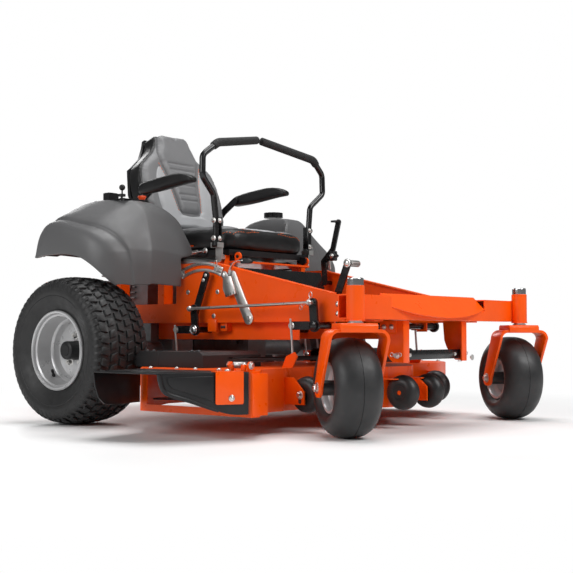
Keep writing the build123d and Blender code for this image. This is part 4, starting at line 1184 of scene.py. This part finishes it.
def quadrant():
    """Height quadrant with its long slot, index pin, strap, stop box and foot release."""
    shape = Shape()
    shaft = CRANKS[0][1:]
    for outer, inner, start, end in ((262, 250, 118, 64), (237, 226, 118, 64), (250, 237, 118, 113),
                                     (250, 237, 69, 64)):
        strip = arc(shaft, outer, start, end, 18) + arc(shaft, inner, end, start, 18)
        shape.prism("zinc", strip, LIFT_Y, PANEL_Y, "XZ", 0.8)
    shape.tube("zinc", [(x, LIFT_Y - 0.5, z) for x, z in arc(shaft, 256, 117, 66, 20)], 1.6, 8)
    end = radians(115)
    shape.bolt("zinc", (shaft[0] + 256 * cos(end), LIFT_Y, shaft[1] + 240 * sin(end)), RIGHT, 11, 4)
    shape.prism("zinc", capsule((478, 560), (562, 398), 44, 12), LIFT_Y, PANEL_Y, "XZ", 0.9)
    shape.bolt("zinc", (566, LIFT_Y, 398), RIGHT, 13, 5)
    box = [(446, 560), (486, 560), (512, 494), (464, 480), (446, 508)]
    shape.prism("zinc", box, LIFT_Y - 16, LIFT_Y, "XZ", 1.4)
    for k in range(4):
        a = Vector((464 + 13 * k, -368, 480 + 4 * k))
        shape.tube("steel", [a, a + Vector((-3, 0, 9))], 1.2, 6)
    nut = [(0.01, 0), (15, 0), (15, 2), (9, 3), (9, 9), (7, 10), (0.01, 10)]
    shape.lathe("zinc", nut, (440, LIFT_Y, 566), RIGHT, 28)
    release = [(468, 560), (480, 590), (498, 610), (520, 617), (548, 616)]
    release = rounded([(x, -361, z) for x, z in release], 14, 4)
    rings = []
    for k, p in enumerate(release):
        ahead = (release[min(k + 1, len(release) - 1)] - release[max(k - 1, 0)]).normalized()
        up = Vector((-ahead.z, 0, ahead.x))
        rings.append([p + up * 1.6 + Vector((0, -6, 0)), p + up * 1.6 + Vector((0, 6, 0)),
                      p - up * 1.6 + Vector((0, 6, 0)), p - up * 1.6 + Vector((0, -6, 0))])
    shape.loft("chrome", rings, bevel=0.6)
    pad = [(526, 620), (534, 624), (574, 622), (590, 614), (588, 607), (576, 603), (538, 605)]
    shape.prism("rubber", pad, -366.5, -352, "XZ", 2.4)
    for k in range(4):
        shape.box("rubber", (540 + 10 * k, -366, 622), (544 + 10 * k, -353, 625), 0.8)
    pin = Vector((402, LIFT_Y, 588))
    eye = pin + Vector((0, -10, 0))
    shape.lathe("zinc", [(0.01, 0), (8, 0), (8, 12), (6, 14), (0.01, 14)], pin, RIGHT, 20)
    ring(shape, "zinc", eye + Vector((0, 0, 22)), (0.35, 1, 0), 13, 1.7)
    shape.tube("zinc", [eye, eye + Vector((0, 0, 10))], 1.7, 8)
    return shape


def panel_bolts():
    """Bolts, the flared panel's edge bead and the spacer block of one side panel."""
    shape = Shape()
    for x, z in ((238, 505), (398, 503), (378, 410), (190, 596)):
        shape.bolt("zinc", (x, PANEL_Y, z), RIGHT, 11, 4.5)
    for x in (560, 640):
        shape.bolt("orange", (x, -340.3, 396), RIGHT, 10, 3, round_head=True)
    bead = [(400, -345.5, 611), (529, -345.5, 581), (952, -345.5, 485)]
    shape.tube("orange", bead, 2.4, 8)
    stop = [(352, 350), (352, 398), (398, 398), (398, 350)]
    shape.prism("orange", stop, -352, -340, "XZ", 2.0)
    shape.box("orange", (398, -330, 352), (432, -300, 388), 1.5)
    for x in (408, 420):
        shape.bolt("steel", (x, -330, 368), RIGHT, 7, 2)
    return shape


def crank_fittings(name, x, z):
    """Hub, washers and trunnion screws of one lift shaft, on one side."""
    shape = Shape()
    if name == "rear_lift":
        shape.bolt("chrome", (x, -395, z), RIGHT, 22, 6, round_head=True)
    else:
        shape.lathe("black", [(0.01, 0), (17, 0), (17, 4), (14, 6), (0.01, 6)], (x, -395, z), RIGHT, 28)
        for k in range(6):
            angle = radians(60 * k)
            shape.bolt("black", (x + 11 * cos(angle), -401, z + 11 * sin(angle)), RIGHT, 4, 1.5, False)
    trunnion = [(0.01, 0), (13, 0), (13, 3), (8, 4), (8, 9), (0.01, 9)]
    shape.lathe("zinc", trunnion, (x - 100, -390, z), RIGHT, 28)
    return shape


def link_ends():
    """Ball ends and cotter rings of one link rod."""
    shape = Shape()
    for x, z in ((312, 438), (901, 451)):
        shape.lathe("zinc", [(0.01, -8), (7, -8), (10.5, -4), (11.4, 0), (10.5, 4), (7, 8), (0.01, 8)],
                    (x, -410, z), ACROSS, 28)
        shape.lathe("zinc", [(0.01, 0), (6, 0), (6, 4), (4, 6), (0.01, 6)], (x, -417, z), RIGHT, 20)
    ring(shape, "zinc", (912, -413, 478), (0.3, 1, 0), 10, 1.4)
    shape.tube("zinc", [(902, -417, 452), (905, -415, 462), (909, -413, 469)], 1.4, 8)
    ring(shape, "zinc", (868, -413, 434), (0.2, 1, 0.2), 8, 1.3)
    shape.tube("zinc", [(892, -413, 449), (883, -413, 443), (875, -413, 438)], 1.3, 8)
    return shape


def lobed(centre, radius, depth, lobes, steps):
    """Outline of a knob or roller with waves round its rim."""
    outline = []
    for k in range(steps):
        angle = 2 * pi * k / steps
        r = radius + depth * cos(lobes * angle)
        outline.append((centre[0] + r * cos(angle), centre[1] + r * sin(angle)))
    return outline


def pedal():
    """Ribbed foot roller and the washer of its arm."""
    shape = Shape()
    shape.prism("zinc", lobed((975, 593), 11.2, 0.8, 18, 72), -275, -219, "XZ", 0.5)
    shape.bolt("zinc", (975, -284, 593), RIGHT, 18, 5, round_head=True)
    return shape


def height_arm_pins():
    """Two rivets that hold the index arm to the rear shaft's arm."""
    shape = Shape()
    for x, z in ((368, 566), (356, 548)):
        shape.bolt("zinc", (x, -380, z), RIGHT, 8, 3)
    return shape


quadrant().make("slotted_quadrant", "chassis", replaces=["height_quadrant"])
panel_bolts().both().make("panel_bolts", "chassis", slot="zinc")
for name, x, z in CRANKS:
    crank_fittings(name, x, z).both().make(f"{name}_fittings", name, slot="zinc")
link_ends().both().make("link_ends", "lift_links")
pedal().make("ribbed_pedal", "front_lift", replaces=["pedal_roller"])
height_arm_pins().make("height_arm_pins", "rear_lift")


# ---- small fittings round the seat and the controls ----
def knob_bracket():
    """Star knob on a plated bracket, beside the parking brake lever."""
    shape = Shape()
    shape.prism("zinc", capsule((428, 668), (462, 672), 26, 8), 306, 310, "XZ", 0.8)
    shape.prism("zinc", [(420, 616), (440, 616), (440, 670), (420, 670)], 306, 310, "XZ", 0.8)
    shape.prism("plastic", lobed((464, 672), 20.5, 3.2, 6, 60), 284, 305, "XZ", 2.5)
    shape.bolt("zinc", (464, 284, 672), RIGHT, 12, 3, round_head=True)
    return shape


def seat_fittings():
    """Strut, adjuster strip and hinge bushes under the seat."""
    shape = Shape()
    shape.tube("zinc", [(96, -249, 664), (196, -249, 672)], 8.5, 18)
    shape.tube("chrome", [(196, -249, 672), (226, -249, 674)], 4.2, 14)
    shape.bolt("zinc", (232, -244, 674), RIGHT, 15, 8)
    shape.box("orange", (104, -251, 694), (168, -246, 700), 1.6)
    shape.box("plastic", (86, -246, 655), (240, -240, 682), 2.0)
    return shape


def control_fittings():
    """Gauge window, switch collar and corner screws on the console."""
    shape = Shape()
    shape.box("plastic", (-60, -522, 902), (-30, -478, 905), 1.2)
    shape.box("steel", (-56, -518, 904.6), (-34, -482, 905.4), 0.3)
    collar = [(9, 868), (24, 868), (24, 871), (20, 873), (9, 873)]
    shape.lathe("plastic", collar, (72, -440, 0), UP, 32)
    for x, y in ((-88, -538), (-88, -462), (76, -538), (76, -462)):
        shape.bolt("plastic", (x, y, 871), UP, 7, 2, False, True)
    return shape


def pto_knob():
    """Pull switch with a flared head."""
    shape = Shape()
    shape.lathe("knob", [(0.01, 873), (11, 873), (12, 877), (17, 884), (17, 887.5), (15.5, 889), (0.01, 889)],
                (72, -440, 0), UP, 36, closed=False)
    shape.tube("plastic", [(72, -440, 802), (72, -440, 874)], 7.8, 18)
    return shape


knob_bracket().make("star_knob", "chassis", slot="black_plastic")
seat_fittings().make("seat_fittings", "seat", slot="zinc")
control_fittings().make("console_fittings", "chassis", slot="black_plastic")
pto_knob().make("switch_knob", "pto_switch", replaces=["pto_knob"])


# ---- engine end ----
def engine_details():
    """Shroud ribs, filter lid, plugs, oil parts and muffler straps."""
    shape = Shape()
    inner, outer, ribs = 104, 150, 30
    for a, b in list(zip(arc((-400, 0), inner, 0, 360, ribs), arc((-400, 0), outer, 0, 360, ribs)))[:ribs]:
        shape.tube("plastic", [(*a, 741), (*b, 741)], 2.6, 8)
    for r in (inner, outer):
        ring(shape, "plastic", (-400, 0, 741), UP, r, 3.0, 48)
    shape.lathe("plastic", [(0.01, 758), (70, 758), (78, 761), (78, 764), (66, 766), (0.01, 766)],
                (-400, 0, 0), UP, 40)
    for side in (-1, 1):
        lead = [(-300, side * 172, 520), (-262, side * 190, 560), (-290, side * 130, 640)]
        shape.tube("rubber", rounded(lead, 20), 4.0, 10)
        for x in (-560, -610):
            shape.bolt("zinc", (x, side * 352, 520), (0, side, 0), 13, 6)
        ring(shape, "steel", (-590, side * 120, 520), ACROSS, 38.5, 2.2, 36)
    shape.tube("plastic", [(-280, -95, 560), (-280, -95, 640)], 9, 16)
    shape.lathe("knob", [(0.01, 640), (16, 640), (16, 655), (0.01, 655)], (-280, -95, 0), UP, 20)
    for y in (-140, 0, 140):
        shape.bolt("zinc", (-198, y, 700), AHEAD, 12, 5)
    return shape


def drive_details():
    """Idlers, hoses and the pump drive between the rails, over the deck."""
    shape = Shape()
    shape.box("steel", (-150, -150, 352), (300, 150, 384), 3.0)
    shape.box("steel", (-120, -166, 262), (96, 166, 352), 4.0)
    shape.lathe("steel", [(0.01, 330), (52, 330), (56, 334), (46, 340), (56, 346), (52, 350), (0.01, 350)],
                (200, 0, 0), UP, 40)
    shape.lathe("steel", [(0.01, 300), (16, 300), (16, 352), (0.01, 352)], (200, 0, 0), UP, 20)
    for side in (-1, 1):
        hose = [(60, side * 200, 330), (150, side * 236, 345), (240, side * 210, 360), (260, side * 120, 372)]
        shape.tube("rubber", rounded(hose, 40, 5), 9, 14)
        hose = [(-40, side * 250, 340), (60, side * 262, 352), (200, side * 258, 366), (280, side * 240, 374)]
        shape.tube("rubber", rounded(hose, 40, 5), 7, 14)
        for x in (-70, 70):
            shape.bolt("zinc", (x, side * 166, 300), (0, side, 0), 14, 6)
    return shape


engine_details().make("engine_details", "chassis", slot="engine_metal")
drive_details().make("drive_details", "chassis", slot="dark_steel")


# ---- the CAD's plates, with rounded edges ----
EASED = {
    "main_frame": "orange", "side_panels": "orange", "foot_platform": "black", "front_beam": "orange",
    "nose_plate": "orange", "caster_caps": "chrome", "engine_block": "cast",
    "engine_shroud": "plastic", "air_filter": "plastic", "muffler": "steel", "engine_guard": "orange",
    "transaxles": "cast", "gauge_console": "plastic", "seat_mount": "orange",
    "deck_shell": "orange", "deck_covers": "cover", "spindle_housings": "cast",
    "blade_right": "steel", "blade_centre": "steel", "blade_left": "steel",
    "front_lift_shaft": "black", "rear_lift_shaft": "black", "link_rods": "zinc",
    "seat_shell": "plastic", "brake_lever": "black", "throttle_lever": "plastic", "choke_knob": "plastic",
    "fuel_cap": "plastic", "lever_base_right": "zinc", "lever_base_left": "zinc",
    "deck_belt": "rubber",
}
for node, finish in EASED.items():
    eased(node, finish)
